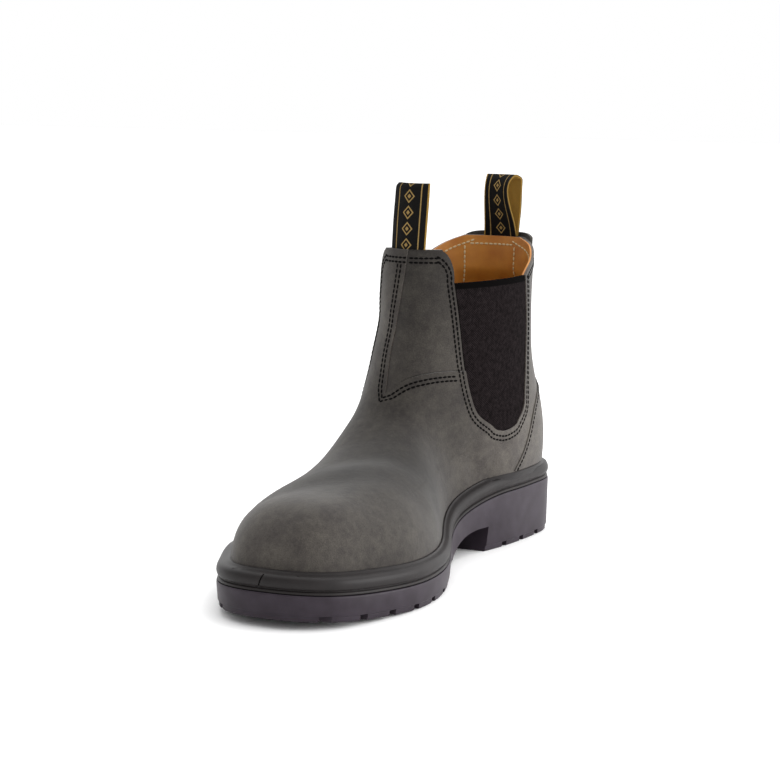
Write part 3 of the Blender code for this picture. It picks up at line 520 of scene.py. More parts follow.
def rubberSurface(add, flow, grit, base, pale):
    # moulded rubber: satin skin with faint flow marks
    colour = add("ValToRGB", {"Fac": flow}, [(0.3, base), (0.75, pale)])
    bump = add("Bump", {"Height": grit, "Strength": 0.15, "Distance": 0.1 * mm})
    return {"Base Color": colour, "Roughness": 0.5, "IOR": 1.5, "Specular IOR Level": 0.2, "Normal": bump}


def liningSurface(add, clouds, pores):
    # vegetable-tanned lining leather: smooth, tan, a little waxy
    colour = add("ValToRGB", {"Fac": clouds}, [(0.3, "#a2601a"), (0.7, "#bd7d2c")])
    bump = add("Bump", {"Height": pores, "Strength": 0.25, "Distance": 0.1 * mm})
    return {"Base Color": colour, "Roughness": 0.55, "Normal": bump}


def threadSurface(add, ply, colour):
    # bonded polyester thread: plied and matt
    bump = add("Bump", {"Height": ply, "Strength": 0.5, "Distance": 0.1 * mm})
    return {"Base Color": linear(colour), "Roughness": 0.8, "Specular IOR Level": 0.06, "Normal": bump}


webbingLook = {  # millimetres
    "lozenge": 4.4,
    "ring": (3.3, 0.5),
    "middle": 1.3,
    "stripe": (6.6, 0.3),
    "selvedge": 9.8,
    "twill": 0.9,
}


def webbingSurface(add, lozenge, ring, middle, stripe, selvedge, twill):
    # cotton webbing: black twill with a small beige woven figure, and a gold-beige lining on its inner face
    apart = add("SeparateXYZ", {"Vector": add("UVMap", uv_map="cloth")})
    inside = add("Attribute", attribute_name="inside").outputs["Fac"]
    # one column of open lozenges with a filled middle, between two pin stripes; then twill, and gold at the edge
    parts = {"across": apart.outputs[0], "up": apart.outputs[1], "inside": inside}
    for name, operation, *values in [
        ("beside", "ABSOLUTE", "across"),
        ("along", "PINGPONG", "up", lozenge),
        ("reach", "MULTIPLY_ADD", "beside", 1.2, "along"),
        ("outer", "COMPARE", "reach", *ring),
        ("inner", "LESS_THAN", "reach", middle),
        ("pin", "COMPARE", "beside", *stripe),
        ("figure", "MAXIMUM", "outer", "inner"),
        ("figure", "MAXIMUM", "figure", "pin"),
        ("slant", "ADD", "across", "up"),
        ("slant", "MULTIPLY", "slant", 2 * math.pi / twill),
        ("slant", "SINE", "slant"),
        ("edge", "GREATER_THAN", "across", selvedge),
        ("gold", "MAXIMUM", "edge", "inside"),
    ]:
        parts[name] = add("Math", {i: parts.get(value, value) for i, value in enumerate(values)}, operation=operation)
    figure, slant, gold = parts["figure"], parts["slant"], parts["gold"]
    colour = add("Mix", {0: figure, 6: linear("#0b0908"), 7: linear("#a08450")})
    colour = add("Mix", {0: gold, 6: colour, 7: linear("#a8853f")})
    shade = add("ValToRGB", {"Fac": slant}, [(0.0, "#b4b4b4"), (1.0, "#ffffff")])
    colour = add("Mix", {0: 0.6, 6: colour, 7: shade}, blend_type="MULTIPLY")
    bump = add("Bump", {"Height": slant, "Strength": 0.5, "Distance": 0.15 * mm})
    return {"Base Color": colour, "Roughness": 0.85, "Specular IOR Level": 0.15, "Normal": bump}


def rawSurface(add, fuzz):
    # the cut edge of the hide: paler than the dyed face, and fuzzy
    colour = add("ValToRGB", {"Fac": fuzz}, [(0.3, "#37322f"), (0.75, "#6a625b")])
    return {"Base Color": colour, "Roughness": 0.9, "Specular IOR Level": 0.15, "Sheen Weight": 0.2}


nubuck = newMaterial("oiled_nubuck", nubuckSurface, **nubuckLook)
rawEdge = newMaterial("raw_leather_edge", rawSurface, [(0.6, 2.0, 0.7)])
goreCloth = newMaterial("ribbed_elastic", goreSurface, **goreLook)
rubberNoises, threadNoises = [(9, 3.0, 0.5), (0.7, 2.0, 0.6)], [(0.35, 1.0, 0.5)]
randRubber = newMaterial("rand_rubber", rubberSurface, rubberNoises, base="#1a1717", pale="#221e1e")
treadRubber = newMaterial("tread_rubber", rubberSurface, rubberNoises, base="#261f26", pale="#332c34")
liningLeather = newMaterial("tan_lining_leather", liningSurface, [(12, 3.0, 0.5), (0.6, 2.0, 0.6)])
darkThread = newMaterial("dark_bonded_thread", threadSurface, threadNoises, colour="#050404")
creamThread = newMaterial("cream_thread", threadSurface, threadNoises, colour="#c9b48c")
webbing = newMaterial("figured_webbing", webbingSurface, **webbingLook)
print("finishes made")


# up from the gore's bottom to its top: turn of its front edge and of its back edge
gore = {
    "top": 153 * mm,
    "bottom": 67 * mm,
    "wall": 1.5 * mm,
    "setBack": 0.6 * mm,
    "grow": 0.06 * mm,  # how much larger the opening in the leather is
    "over": (0.3 * mm, 4 * mm),  # where the opening goes on, over the gore's top and over the collar
    "crowding": 2.2,
    "round": (10 * mm, 16 * mm),
    "backCorner": [(0.0, 110), (0.22, 119), (0.45, 133), (0.67, 143), (0.84, 151), (1.0, 160)],
    "edges": [
        (0.00, 79, 84),
        (0.01, 72, 92),
        (0.04, 63.5, 101),
        (0.10, 51, 110),
        (0.20, 41, 115),
        (0.44, 33.5, 120),
        (0.70, 30, 119),
        (1.00, 26, 110),
    ],
}
goreFront, goreBack = tableCurve(gore["edges"], 1), tableCurve(gore["edges"], 2)
backCornerTurn = tableCurve(gore["backCorner"], 1)
degreesPerMetre = math.degrees(1 / (0.5 * last["collarLength"]))


def peakCorner(heights):
    width, height = gore["round"]
    over = np.clip(1 - (collar - heights) / height, 0, 0.98)
    return width * (1 - np.sqrt(1 - over**2))


def backEdge(heights):
    # where the back peak's sloping corner stands at these heights
    return backCornerTurn((heights - gore["top"]) / (collar - gore["top"]))


def spanned(front, back, heights, columns):
    # a grid between a front and a back edge, given as turns
    across = np.linspace(0, 1, columns)
    turns = front[:, None] * (1 - across) + back[:, None] * across
    return turns, np.repeat(heights[:, None], columns, 1)


def goreGrid(columns, count):
    share = np.linspace(0, 1, count) ** gore["crowding"]
    heights = gore["bottom"] + (gore["top"] - gore["bottom"]) * share
    return spanned(goreFront(share), goreBack(share), heights, columns)


def openingGrid(columns, count, above):
    turns, heights = goreGrid(columns, count)
    low, high = gore["over"]
    over = np.linspace(gore["top"] + low, collar + high, above)
    front = turns[-1, 0] - peakCorner(over) * degreesPerMetre
    turnsOver, heightsOver = spanned(front, backEdge(over), over, columns)
    turns, heights = np.concatenate([turns, turnsOver]), np.concatenate([heights, heightsOver])
    turns[:, 0] -= gore["grow"] * degreesPerMetre
    turns[:, -1] += gore["grow"] * degreesPerMetre
    heights[0] -= gore["grow"]
    return turns, heights


panel = {
    "bottom": [(0.0, 93 * mm), (0.17, 99.5 * mm), (0.39, 103.5 * mm), (0.65, 105 * mm), (1.0, 104.5 * mm)],
    "seam": [(0.0, -8), (0.23, -8.5), (0.44, -6.5), (0.66, -3), (1.0, 0)],
    "depths": (-0.5 * mm, -1.3 * mm),  # outer and inner face, measured outwards from the shaft's surface
    "gap": 0.3 * mm,
    "toGore": 0.6 * mm,
}
panelBottom = tableCurve(panel["bottom"], 1)
panelSeam = tableCurve(panel["seam"], 1)


def panelGrid(columns, count):
    across = np.linspace(0, 1, columns)
    low = panelBottom(across)
    heights = low + (collar - panel["gap"] - low) * np.linspace(0, 1, count)[:, None]
    share = (heights - low[0]) / (collar - low[0])
    seam = panelSeam(share)
    edge = goreFront(np.clip((heights - gore["bottom"]) / (gore["top"] - gore["bottom"]), 0, 1))
    edge = edge - (peakCorner(heights) + panel["toGore"]) * degreesPerMetre
    return seam + (edge - seam) * across, heights


heelPatch = {
    "bottom": 42.6 * mm,
    "top": 90 * mm,
    "depths": (0.7 * mm, -0.4 * mm),
    "crowding": 0.6,
    "edges": [
        (0.00, 97, 263),
        (0.22, 111, 249),
        (0.50, 122, 238),
        (0.75, 132, 228),
        (0.90, 144, 216),
        (1.00, 156, 204),
    ],
}
heelFront, heelBack = tableCurve(heelPatch["edges"], 1), tableCurve(heelPatch["edges"], 2)


def heelGrid(columns, count):
    share = np.linspace(0, 1, count) ** heelPatch["crowding"]
    heights = heelPatch["bottom"] + (heelPatch["top"] - heelPatch["bottom"]) * share
    return spanned(heelFront(share), heelBack(share), heights, columns)


def onShaft(turns, heights, *outs):
    surface = shaftSurface(turns, heights)
    normals = lastNormals(surface)
    surface = surface + normals * folds(surface)[..., None]
    return [surface + normals * out for out in outs]


# each trough runs through these points (x, y, z in mm), with its depth and half width in mm
creases = [
    (0.6, 10, [(-26, -86, 48), (-10, -81, 57), (10, -71, 60), (24, -59, 61), (40, -48, 50)]),  # behind the toe cap
    (0.35, 8, [(-8, -40, 66), (10, -34, 66), (30, -26, 58), (44, -20, 42)]),  # across the vamp
    (0.35, 9, [(2, -2, 80), (18, 8, 70), (27, 16, 56)]),
    (0.45, 4, [(25, 46, 66), (25, 50, 53), (26, 51, 44)]),  # below the gore
    (0.30, 1.8, [(31, 61, 59), (31, 64, 50)]),
    (0.45, 1.6, [(36, 72, 61), (35, 73, 52), (36, 76, 47)]),
    (0.25, 1.5, [(37, 78, 60), (36, 80, 52)]),
    (-0.5, 16, [(-16, -118, 44), (8, -122, 48)]),  # the toe cap's soft crown
]


def folds(points):
    # how far the creases move these points outwards
    flat = points.reshape(-1, 3) / mm
    moved = np.zeros(len(flat))
    for depth, width, path in creases:
        path = np.array(path, float)
        nearest = np.full(len(flat), 1e9)
        for a, b in zip(path[:-1], path[1:]):
            run = b - a
            share = np.clip((flat - a) @ run / (run @ run), 0, 1)
            nearest = np.minimum(nearest, np.linalg.norm(flat - a - share[:, None] * run, axis=1))
        trough = np.exp(-((nearest / width) ** 2))
        shoulder = np.exp(-(((nearest - 1.9 * width) / (0.9 * width)) ** 2))
        moved += depth * (0.35 * shoulder - trough)
    return (moved * mm).reshape(points.shape[:-1])


upperLook = {
    "around": 300,
    "rings": 120,
    "liningFrom": 30,  # the ring at which the lining starts
    "foot": 0.3 * mm,
    "wall": 2.4 * mm,
    "peakWall": 5.4 * mm,
    "peakFade": 12 * mm,
    "lining": 0.9 * mm,
    "cutters": (4 * mm, -7.4 * mm),
    "windowCutter": (4 * mm, -1.4 * mm),
    "windowPast": (1.5 * mm, 3 * mm),  # how far the panel's cutter runs into the gore and over the collar
}
loops = {
    "width": 21 * mm,
    "rise": 36 * mm,
    "tail": 12 * mm,
    "wall": 1.1 * mm,
    "ply": 0.9,  # share of the wall that the webbing fills
    "seat": 1.5 * mm,
    "lean": 2.5 * mm,
    "spread": 1.15,  # the collar's front and back are flatter than its mean curve
    "columns": 16,
}


def wallAt(points):
    # the wall is thicker where the loops are sewn in
    fade = upperLook["peakFade"]
    beside = np.abs(points[..., 0] - axisX) - 0.5 * loops["width"]
    below = collar - loops["tail"] - points[..., 2]
    near = smoothStep(1.5 - beside / fade) * smoothStep(1.5 - below / fade)
    return upperLook["wall"] + (upperLook["peakWall"] - upperLook["wall"]) * near


def evened(normals, rounds):
    for _ in range(rounds):
        beside = np.roll(normals, 1, 1) + np.roll(normals, -1, 1)
        stacked = np.concatenate([normals[:1], normals[:-1]]) + np.concatenate([normals[1:], normals[-1:]])
        normals = unit(2 * normals + beside + stacked)
    return normals


def buildUpper():
    look = upperLook
    shares = np.arange(look["around"]) / look["around"]
    rises = np.linspace(0, 1, look["rings"])
    foot = levelRing(lambda y: bedHeight(y) + look["foot"], 0.0, shares)
    surface = np.array([foot] + [upperRing(rise, shares) for rise in rises[1:]])
    normals = lastNormals(surface)
    normals[0] = levelled(normals[0])
    skin = surface + normals * folds(surface)[..., None]
    inward = evened(normals, 60)
    wall = wallAt(surface)[..., None]
    between = surface - inward * (wall - look["lining"])
    within = surface - inward * wall
    for sheet in (skin, between, within):
        sheet[-1, :, 2] = collar
        sheet[0, :, 2] = surface[0, :, 2]
    shell = bandFrom("upper_leather", skin, between)
    return shell, bandFrom("shaft_lining", between[look["liningFrom"] :], within[look["liningFrom"] :])


def markRaw(piece):
    # the walls that the openings cut square to the surface are raw hide
    mesh = piece.data
    mesh.materials.append(rawEdge)
    centre, normal = vectorsOf(mesh.polygons, "center"), vectorsOf(mesh.polygons, "normal")
    across = np.abs((lastNormals(centre) * normal).sum(1)) < 0.5
    raw = across & (centre[:, 2] > heelBed + 6 * mm) & (centre[:, 2] < collar - 0.6 * mm)
    mesh.polygons.foreach_set("material_index", raw.astype(np.int32))


# painted light (+) and painted shade (-): the leather is made lighter or darker where light falls more or less on it:
# share, radius in mm, middle in mm
lightAndShadeZones = [
    (-0.52, 36, (6, -62, 62)),
    (-0.50, 32, (32, -16, 52)),
    (0.38, 30, (8, -138, 36)),
    (0.22, 22, (-14, -112, 56)),
    (0.75, 34, (40, 98, 62)),
    (0.40, 20, (31, 60, 54)),
    (0.55, 26, (-16, 22, 128)),
    (-0.15, 30, (10, 4, 84)),
]


# painted light and shade: sums the blobs above into a per-point attribute that lightens or darkens the leather's
# colour
def paintLightAndShade(piece):
    found = vectorsOf(piece.data.vertices, "co") / mm
    paintedLight = np.zeros(len(found))
    for share, radius, middle in lightAndShadeZones:
        paintedLight += share * np.exp(-((np.linalg.norm(found - middle, axis=1) / radius) ** 2))
    setAttribute(piece, "paintedLight", paintedLight)


shell, lining = buildUpper()
openTurns, openHeights = openingGrid(40, 70, 24)
tools = []
for side, name in ((1, "gore_medial_tool"), (-1, "gore_lateral_tool")):
    tools.append(patchFrom(name, *onShaft(side * openTurns, openHeights, *upperLook["cutters"])))
panelTurns, panelHeights = panelGrid(40, 60)
windowTurns, windowHeights = panelTurns.copy(), panelHeights.copy()
windowTurns[:, 0] -= panel["gap"] * degreesPerMetre
windowTurns[:, -1] += upperLook["windowPast"][0] * degreesPerMetre
windowHeights[0] -= panel["gap"]
windowHeights[-1] += upperLook["windowPast"][1]
panelTool = patchFrom("panel_tool", *onShaft(windowTurns, windowHeights, *upperLook["windowCutter"]))
cutAway(shell, tools + [panelTool])
cutAway(lining, tools)
dropTools(tools + [panelTool])
dress(shell, "upper", nubuck)
paintLightAndShade(shell)
markRaw(shell)
dress(lining, "upper", liningLeather)
print("upper:", len(shell.data.polygons), "faces")

panelSheet = patchFrom("front_panel_leather", *onShaft(panelTurns, panelHeights, *panel["depths"]))
dress(panelSheet, "front_panel", nubuck)
panelLevels = vectorsOf(panelSheet.data.vertices, "co")[:, 2]
# painted shade: the front panel's colour darkens towards its top
setAttribute(panelSheet, "paintedLight", -0.3 * smoothStep((panelLevels - 110 * mm) / (50 * mm)))
heelSheet = patchFrom("heel_patch_leather", *onShaft(*heelGrid(60, 40), *heelPatch["depths"]))
dress(heelSheet, "heel_patch", nubuck)
paintLightAndShade(heelSheet)


def clothMap(obj, points, uv):
    # gives every vertex the cloth place of the nearest grid point
    flat = points.reshape(-1, 3)
    tree = KDTree(len(flat))
    for i, point in enumerate(flat):
        tree.insert(point, i)
    tree.balance()
    chosen = np.array([tree.find(point)[1] for point in vectorsOf(obj.data.vertices, "co")])
    layer = obj.data.uv_layers.new(name="cloth")
    corner = np.empty(len(obj.data.loops), int)
    obj.data.loops.foreach_get("vertex_index", corner)
    layer.data.foreach_set("uv", uv.reshape(-1, 2)[chosen][corner].ravel())


def buildGores():
    turns, heights = goreGrid(60, 90)
    for side, name in ((1, "medial"), (-1, "lateral")):
        outer, inner = onShaft(side * turns, heights, -gore["setBack"], -gore["setBack"] - gore["wall"])
        cloth = patchFrom("gore_cloth_" + name, outer, inner)
        across = np.array([runLength(row) for row in outer])
        across -= 0.5 * across[:, -1:]
        clothMap(cloth, outer, np.stack([across / mm, heights / mm], -1))
        dress(cloth, "gore_" + name, goreCloth)


buildGores()
print("gores made")


soleLook = {
    "around": 400,
    "randDepth": 7 * mm,
    "lip": 4 * mm,
    "groove": 1.6 * mm,
    "clear": (1.4 * mm, 1.1 * mm, 0.8 * mm, 0.45 * mm, 0.3 * mm),  # of the top five rings from the shaft
    "pocket": 0.15 * mm,
    "lugPitch": 19 * mm,
    "notch": (40 * mm, 4.5 * mm, 6 * mm),
    "notched": (0.96, 0.52),  # shares of the length between which the fore part has notches
    "heelBlock": 94 * mm,
    "arch": 14 * mm,
    "breastSlope": 3 * mm,
    "below": 5 * mm,
    "channel": (20 * mm, 24 * mm, 3 * mm),
}
soleShares = np.arange(soleLook["around"]) / soleLook["around"]
heelBreast = 0.5 * last["length"] - soleLook["heelBlock"]


def soleRings(profile, shares=soleShares):
    rings = []
    for inset, heightAt in profile:
        flat = outline(shares, inset)
        rings.append(np.column_stack([flat, heightAt(flat[:, 1])]))
    return np.array(rings)


def overBed(rise):
    return lambda y: bedHeight(y) + rise


def overJoint(rise):
    return lambda y: bedHeight(y) - soleLook["randDepth"] + rise


def overFloor(rise):
    return lambda y: toeLift(y) + rise


def buildRand():
    look = soleLook
    ledge = ledgeAt(soleShares)
    # inset and height over the joint in mm: the foot's round, the groove, the band;
    # then up the lip, whose insets are shares of the ledge
    band = [(1.6, 0.3), (0.9, 0.3), (0.55, 0.6), (0.5, 1.1), (0.7, 1.6), (1.2, 1.9)]
    band += [(look["groove"] / mm, 2.1), (look["groove"] / mm, 2.5), (1.0, 2.8), (0.5, 3.3), (0.2, 4.1)]
    band += [(0.0, 5.2), (0.1, 6.4), (0.4, 7.5), (0.8, 8.2)]
    profile = [(inset * mm, overJoint(rise * mm)) for inset, rise in band]
    lip = [(0.25, 1.9), (0.36, 2.3), (0.50, 2.6), (0.64, 2.9), (0.78, 3.4)]
    profile += [(share * ledge, overBed(rise * mm)) for share, rise in lip]
    profile += [(ledge - 0.9 * mm, overBed(3.9 * mm)), (ledge - 0.5 * mm, overBed(look["lip"]))]
    rings = list(soleRings(profile))
    # where the shaft overhangs, the lip leans out along it
    outer, inner = soleRings([(0.0, overBed(0.0)), (1 * mm, overBed(0.0))])
    outward = levelled(outer - inner)
    for ring, clear in zip(rings[-5:], look["clear"]):
        room = lastValue(ring[:, 0], ring[:, 1], bedHeight(ring[:, 1]) + look["lip"]) - clear
        ring += outward * np.clip(-room, 0, None)[:, None]
    for rise in (look["lip"], 0.0):
        ring = levelRing(overBed(rise), 0.0, soleShares)
        ring = ring + levelled(lastNormals(ring)) * look["pocket"]
        ring[:, 2] = bedHeight(ring[:, 1]) + rise
        rings.append(ring)
    return tubeFrom("rand_band", np.array(rings), 60)


def archTool():
    # from the heel block's breast forward to the middle of the length
    steps = np.linspace(0, 1, 30)
    y = (heelBreast + soleLook["breastSlope"]) * (1 - steps)
    z = soleLook["arch"] * (1 - smoothStep(steps) ** 1.5)
    y = np.concatenate([[heelBreast], y, [0.0]])
    z = np.concatenate([[-soleLook["below"]], z, [-soleLook["below"]]])
    beside = last["length"] / 3
    return tubeFrom("arch_tool", np.array([np.column_stack([np.full(len(y), x), y, z]) for x in (-beside, beside)]))


def treadTools():
    # notches in the tread's edge, along the fore part and along the heel block
    bm = bmesh.new()
    pitch = soleLook["lugPitch"]
    front, waist = [last["length"] * (0.5 - share) for share in soleLook["notched"]]
    heel = np.arange(heelBreast + pitch, 0.5 * (last["length"] - pitch), pitch)
    for y in np.concatenate([np.arange(front, waist, pitch), heel]):
        for shares in (featherShares, 1 - featherShares):
            edge = outline(shares, 0.0)
            x = np.interp(y, edge[:, 1], edge[:, 0])
            place = Matrix.LocRotScale(Vector((x, y, toeLift(y))), None, Vector(soleLook["notch"]))
            bmesh.ops.create_cube(bm, size=1, matrix=place)
    return asObject("tread_tool", bm)


def channelTool():
    # the groove that runs round inside the lugs
    outer, inner, depth = soleLook["channel"]
    low, high = overFloor(-depth), overFloor(depth)
    profile = [(outer, low), (inner, low), (inner, high), (outer, high), (outer, low)]
    return tubeFrom("channel_tool", soleRings(profile, np.arange(200) / 200))


def buildTread():
    # inset and height in mm, from the joint and then from the floor
    side = [(1.2, 0), (0.4, 0), (0.1, -0.3), (0, -0.9)]
    lugs = [(0.6, 3.6), (0.8, 3.1), (1.2, 2.7), (1.3, 0.6), (1.8, 0)]
    profile = [(inset * mm, overJoint(rise * mm)) for inset, rise in side]
    profile += [(inset * mm, overFloor(rise * mm)) for inset, rise in lugs]
    tread = tubeFrom("lugged_tread", soleRings(profile), 50)
    tools = [archTool(), channelTool(), treadTools()]
    for tool in tools:
        cutAway(tread, [tool])
    dropTools(tools)
    return tread


def toeJointTool():
    # the short open joint where the ends of the band meet at the toe
    bm = bmesh.new()
    lean = Matrix.Rotation(math.radians(22), 3, "Y")
    place = Matrix.LocRotScale(Vector((7, -149.6, 24.5)) * mm, lean, Vector((0.7, 3.2, 7.5)) * mm)
    bmesh.ops.create_cube(bm, size=1, matrix=place)
    return asObject("toe_joint_tool", bm)


rand = buildRand()
toeJoint = toeJointTool()
cutAway(rand, [toeJoint])
dropTools([toeJoint])
dress(rand, "midsole", randRubber)
tread = buildTread()
dress(tread, "outsole", treadRubber)
print("sole:", len(rand.data.polygons), len(tread.data.polygons), "faces")


def buildInsole():
    edge = ledgeAt(soleShares) + 5.2 * mm
    rim = [(0.0, 0.3), (0.0, 5.2), (0.7, 6.0), (1.8, 5.6), (3.5, 4.6), (6.0, 4.0)]
    return tubeFrom("insole_board", soleRings([(edge + inset * mm, overBed(rise * mm)) for inset, rise in rim]), 60)


dress(buildInsole(), "insole", liningLeather)


loopTable = [  # up the loop: how far its outer and inner faces bow out and in
    (0.00, 0.00, 0.00),
    (0.20, 0.03, 0.22),
    (0.45, 0.06, 0.62),
    (0.70, 0.02, 0.92),
    (0.88, 0.00, 0.86),
    (0.97, -0.20, 0.60),
    (1.00, -0.45, 0.45),
]


def buildLoop(name, turn, bulge):
    outerBow, innerBow = tableCurve(loopTable, 1), tableCurve(loopTable, 2)
    up = np.sin(np.linspace(0.0, 0.5, 26) * math.pi)
    wall = loops["wall"]
    front = np.column_stack([bulge * outerBow(up) - loops["seat"], loops["rise"] * up])
    back = np.column_stack([-bulge * innerBow(up) - loops["seat"] - 2 * wall, loops["rise"] * up])
    front[-1] = 0.5 * (front[-1] + back[-1])
    tail = np.linspace(-loops["tail"], -1 * mm, 4)
    low, far = [np.column_stack([np.full(len(tail), face[0, 0]), tail]) for face in (front, back)]
    path = np.concatenate([low, front, back[-2::-1], far[::-1]])
    run = unit(np.gradient(path, axis=0))
    side = np.column_stack([run[:, 1], -run[:, 0]])
    half = 0.5 * loops["width"] * degreesPerMetre * loops["spread"]
    turns = turn + np.linspace(-half, half, loops["columns"])
    sheets = []
    for shift in (0.0, -loops["ply"] * wall):
        line = path + side * shift
        height = np.minimum(collar + line[:, 1], collar)
        surface = shaftSurface(turns[None, :], height[:, None])
        place = surface + lastNormals(surface) * line[:, 0][:, None, None]
        rise = np.maximum(line[:, 1], 0)[:, None]
        place[..., 0] += loops["lean"] * rise / loops["rise"]
        place[..., 2] += rise
        sheets.append(place)
    band = patchFrom(name, *sheets)
    length = runLength(path)
    across = np.linspace(-0.5, 0.5, loops["columns"]) * loops["width"]
    uv = np.stack(np.broadcast_arrays(across[None, :] / mm, (length - 0.5 * length[-1])[:, None] / mm), -1)
    clothMap(band, sheets[0], np.ascontiguousarray(uv))
    inside = np.zeros(len(band.data.vertices))
    inside[sheets[0][..., 0].size :] = 1.0
    setAttribute(band, "inside", inside)
    return band


for name, turn, bulge in (("pull_loop_front", -2.5, 4 * mm), ("pull_loop_back", 176.5, 10 * mm)):
    dress(buildLoop(name + "_webbing", turn, bulge), name, webbing)
print("loops made")


stitchLook = {
    "goreRows": (2.4 * mm, 4.8 * mm),
    "panelRows": (3.2 * mm, 5.5 * mm),
    "collarDrop": 2.0 * mm,  # how much lower both rows run along the collar
    "pitch": 2.8 * mm,
    "length": 2.55 * mm,
    "width": 1.15 * mm,
    "height": 0.6 * mm,
    "ahead": 0.3 * mm,  # how far ahead a stitch looks for its direction
    "fade": 14 * mm,
    "heelRow": 1.8 * mm,
}


def stitchAlong(bm, points, normals):
    # small flattened beads, laid end to end along a line
    look = stitchLook
    length = runLength(points)

    def read(values, at):
        return np.array([np.interp(at, length, values[:, i]) for i in range(3)])

    for at in np.arange(0.5 * look["pitch"], length[-1], look["pitch"]):
        place = read(points, at)
        out = unit(read(normals, at))
        run = unit(read(points, at + look["ahead"]) - place)
        side = np.cross(out, run)
        axes = [run * 0.5 * look["length"], side * 0.5 * look["width"], out * 0.5 * look["height"], place]
        matrix = Matrix(np.vstack([np.column_stack(axes), (0, 0, 0, 1)]))
        bmesh.ops.create_uvsphere(bm, u_segments=8, v_segments=4, radius=1, matrix=matrix)


def offsetLine(turns, heights, away, towards):
    # a line on the shaft, moved sideways by away; towards says which way, by the point that it nears
    line = shaftSurface(turns, heights)
    across = unit(np.cross(lastNormals(line), unit(np.gradient(line, axis=0))))
    middle = len(line) // 2
    aim = shaftSurface(*towards) - line[middle]
    if across[middle] @ aim < 0:
        across = -across
    moved = line + across * np.broadcast_to(away, len(line))[:, None]
    return np.degrees(np.arctan2(moved[:, 0] - axisX, axisY - moved[:, 1])), moved[:, 2]


def panelDepth(turns, heights):
    # the front panel lies a little under the leather beside it
    across = (turns + 8) / 41
    inside = (turns > -1) & (turns < 40) & (heights > panelBottom(np.clip(across, 0, 1)))
    return np.where(inside, panel["depths"][0], 0.0)


def sew(name, thread, rows):
    bm = bmesh.new()
    for points, normals in rows:
        stitchAlong(bm, points, normals)
    dress(asObject(name, bm), None, thread)


def shaftRow(turns, heights, away, towards, out=0.0, withPanel=False):
    turns, heights = offsetLine(turns, heights, away, towards)
    heights = np.minimum(heights, collar - 1 * mm)
    surface = shaftSurface(turns, heights)
    normals = lastNormals(surface)
    depth = panelDepth(turns, heights) if withPanel else 0.0
    return surface + normals * (folds(surface) + depth + out + 0.1 * mm)[..., None], normals


def goreEdgeLine(side):
    # along the top line, round the front peak's corner, down, round and up the gore, and on to the back
    over = np.linspace(collar, gore["top"], 14)
    share = np.linspace(1, 0, 90) ** 1.8
    frontCorner = goreFront(1.0) - peakCorner(over) * degreesPerMetre
    backCorner = backEdge(over[::-1])
    level = gore["bottom"] + (gore["top"] - gore["bottom"]) * share
    top = np.full(20, collar)
    pieces = [
        (np.linspace(0.5, frontCorner[0] - 1, 20), top),
        (frontCorner, over),
        (goreFront(share)[1:], level[1:]),
        (goreBack(share[::-1]), level[::-1]),
        (backCorner[1:], over[::-1][1:]),
        (np.linspace(backCorner[-1] + 1, 179.5, 20), top),
    ]
    turns, heights = [np.concatenate(part) for part in zip(*pieces)]
    return side * turns, heights


def buildGoreStitches():
    look = stitchLook
    for side, name in ((1, "medial"), (-1, "lateral")):
        turns, heights = goreEdgeLine(side)
        drop = smoothStep(1 - (collar - heights) / look["fade"]) * look["collarDrop"]
        drop = drop + smoothStep(1 - (heights - gore["bottom"]) / look["fade"]) * 0.5 * mm
        below = (side * 82, 40 * mm)
        rows = [shaftRow(turns, heights, away + drop, below, withPanel=side > 0) for away in look["goreRows"]]
        sew("gore_stitching_" + name, darkThread, rows)


def buildPanelStitches():
    low = np.linspace(0, 0.86, 24)
    corner = panelBottom(0.0)
    down = np.linspace(collar - 8 * mm, corner, 30)
    seam = panelSeam((down - corner) / (collar - corner))
    heights = np.concatenate([down, panelBottom(low)[1:]])
    turns = np.concatenate([seam, seam[-1] + low[1:] * (goreFront(0.43) - seam[-1])])
    rows = [shaftRow(turns, heights, away, (-20, 70 * mm)) for away in stitchLook["panelRows"]]
    sew("panel_stitching", darkThread, rows)


def buildHeelStitches():
    share = np.linspace(0.02, 0.97, 50)
    level = heelPatch["bottom"] + (heelPatch["top"] - heelPatch["bottom"]) * share
    away, out = stitchLook["heelRow"], heelPatch["depths"][0]
    rows = [shaftRow(edge(share), level, away, (180, 60 * mm), out) for edge in (heelFront, heelBack)]
    sew("heel_stitching", darkThread, rows)


def buildLiningStitches():
    fall = np.linspace(0, 1, 30)
    lines = [(np.linspace(165, 199, 40), np.full(40, collar - 5 * mm))]
    for turn in (163, 201):
        lines.append((np.full(20, turn), np.linspace(collar - 6 * mm, collar - 40 * mm, 20)))
    for side in (1, -1):
        lines.append((side * (backCornerTurn(fall) + 5), gore["top"] + fall * (collar - gore["top"]) - 3 * mm))
    rows = []
    for line in lines:
        surface = shaftSurface(*line)
        normals = lastNormals(surface)
        rows.append((surface - normals * (wallAt(surface) + 0.15 * mm)[..., None], -normals))
    sew("lining_stitching", creamThread, rows)


buildGoreStitches()
buildPanelStitches()
buildHeelStitches()
buildLiningStitches()
print("stitching made")


# the leather tab behind the back loop
tab = {"turn": 176.5, "half": 23, "low": 13 * mm, "above": 2.6 * mm, "out": (1.5 * mm, 0.1 * mm)}


def buildTab():
    turns = tab["turn"] + np.linspace(-tab["half"], tab["half"], 40)
    level = np.linspace(-tab["low"], tab["above"], 14)
    fall = (np.abs(turns - tab["turn"]) / tab["half"]) ** 6 * 2.5 * mm
    heights = collar + level[:, None] - fall[None, :] * (level[:, None] > 0)
    turns = np.repeat(turns[None], len(level), 0)
    surface = shaftSurface(turns, np.minimum(heights, collar))
    normals = lastNormals(surface)
    surface[..., 2] += np.maximum(heights - collar, 0)
    dress(patchFrom("collar_tab", *[surface + normals * out for out in tab["out"]]), None, nubuck)


buildTab()


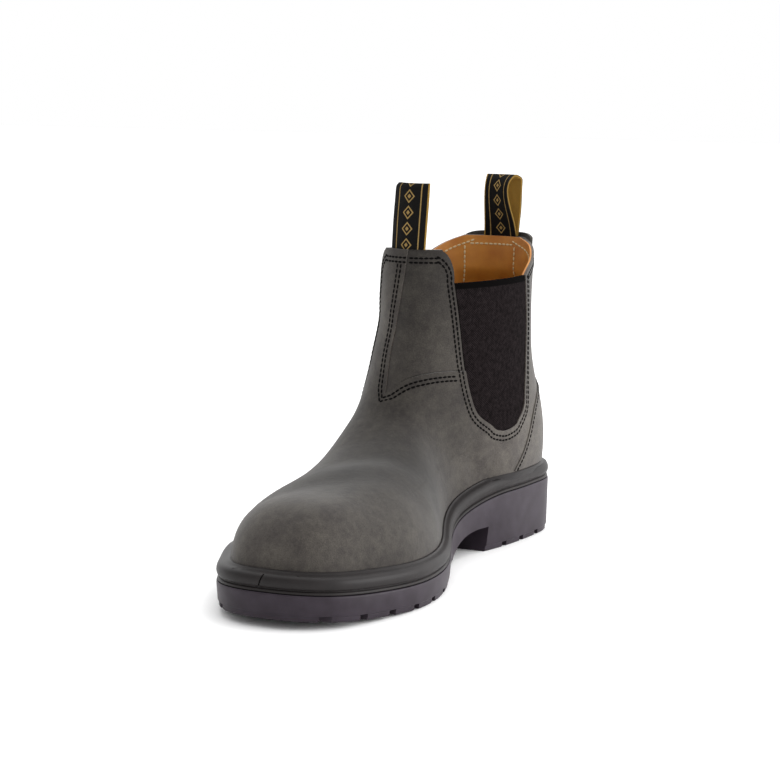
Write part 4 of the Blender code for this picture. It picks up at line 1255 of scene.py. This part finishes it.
view = {
    "turn": 27.28,
    "rise": 8.5,
    "distance": 1.197,
    "focal": 2222.6,  # pixels at 780 across
    "right": -0.6 * mm,
    "up": 11.56 * mm,
    "roll": 0.37,
    "middle": 85 * mm,
}


def placeCamera():
    turned, raised, rolled = [
        Matrix.Rotation(math.radians(angle), 4, axis)
        for angle, axis in ((view["turn"], "Z"), (90 - view["rise"], "X"), (view["roll"], "Z"))
    ]
    eye = Matrix.Translation((view["right"], view["up"], view["distance"]))
    camera = bpy.data.objects.new("camera", bpy.data.cameras.new("camera"))
    camera.data.sensor_width = 36
    camera.data.lens = 36 * view["focal"] / 780
    camera.matrix_world = Matrix.Translation((0, 0, view["middle"])) @ turned @ raised @ eye @ rolled
    bpy.context.scene.collection.objects.link(camera)
    bpy.context.scene.camera = camera


lights = [("overhead", (-0.1, 0.2, 1.7), 1.4, 8), ("right", (1.6, 0.55, 0.3), 0.9, 22)]  # name, place, size, watts
lightAim = Vector((0, 0, 0.08))


def placeLights():
    for name, place, size, watts in lights:
        lamp = bpy.data.lights.new(name, "AREA")
        lamp.size = size
        lamp.energy = watts
        made = bpy.data.objects.new(name, lamp)
        made.location = place
        made.rotation_euler = (lightAim - Vector(place)).to_track_quat("-Z", "Y").to_euler()
        bpy.context.scene.collection.objects.link(made)
    # a white room: dimmer towards the camera, and plain white where it is seen past the floor
    world = bpy.data.worlds.new("studio")
    world.use_nodes = True
    tree = world.node_tree
    tree.nodes.clear()
    place = addNode(tree, "TexCoord").outputs["Generated"]
    towards = addNode(tree, "VectorMath", {0: place, 1: (0.35, 0.9, 0.25)}, operation="DOT_PRODUCT")
    span = {"Value": towards.outputs["Value"], "From Min": -1.0, "From Max": 1.0, "To Min": 0.4, "To Max": 2.0}
    glow = addNode(tree, "MapRange", span)
    room, seen = [addNode(tree, "Background", {"Color": (1, 1, 1, 1), "Strength": power}) for power in (glow, 1.0)]
    direct = addNode(tree, "LightPath").outputs["Is Camera Ray"]
    addNode(tree, "OutputWorld", {"Surface": addNode(tree, "MixShader", {0: direct, 1: room, 2: seen})})
    bpy.context.scene.world = world
    bpy.context.scene.view_settings.view_transform = "Standard"


def paperSurface(add):
    # matt background paper, rolled out flat
    return {"Base Color": linear("#fbfbfb"), "Roughness": 0.9}


def placeFloor():
    bm = bmesh.new()
    bmesh.ops.create_grid(bm, x_segments=1, y_segments=1, size=6)
    floor = asObject("studio_floor", bm)
    floor.data.materials.append(newMaterial("white_paper", paperSurface))


placeCamera()
placeLights()
placeFloor()
print("stage set")

bpy.context.view_layer.update()
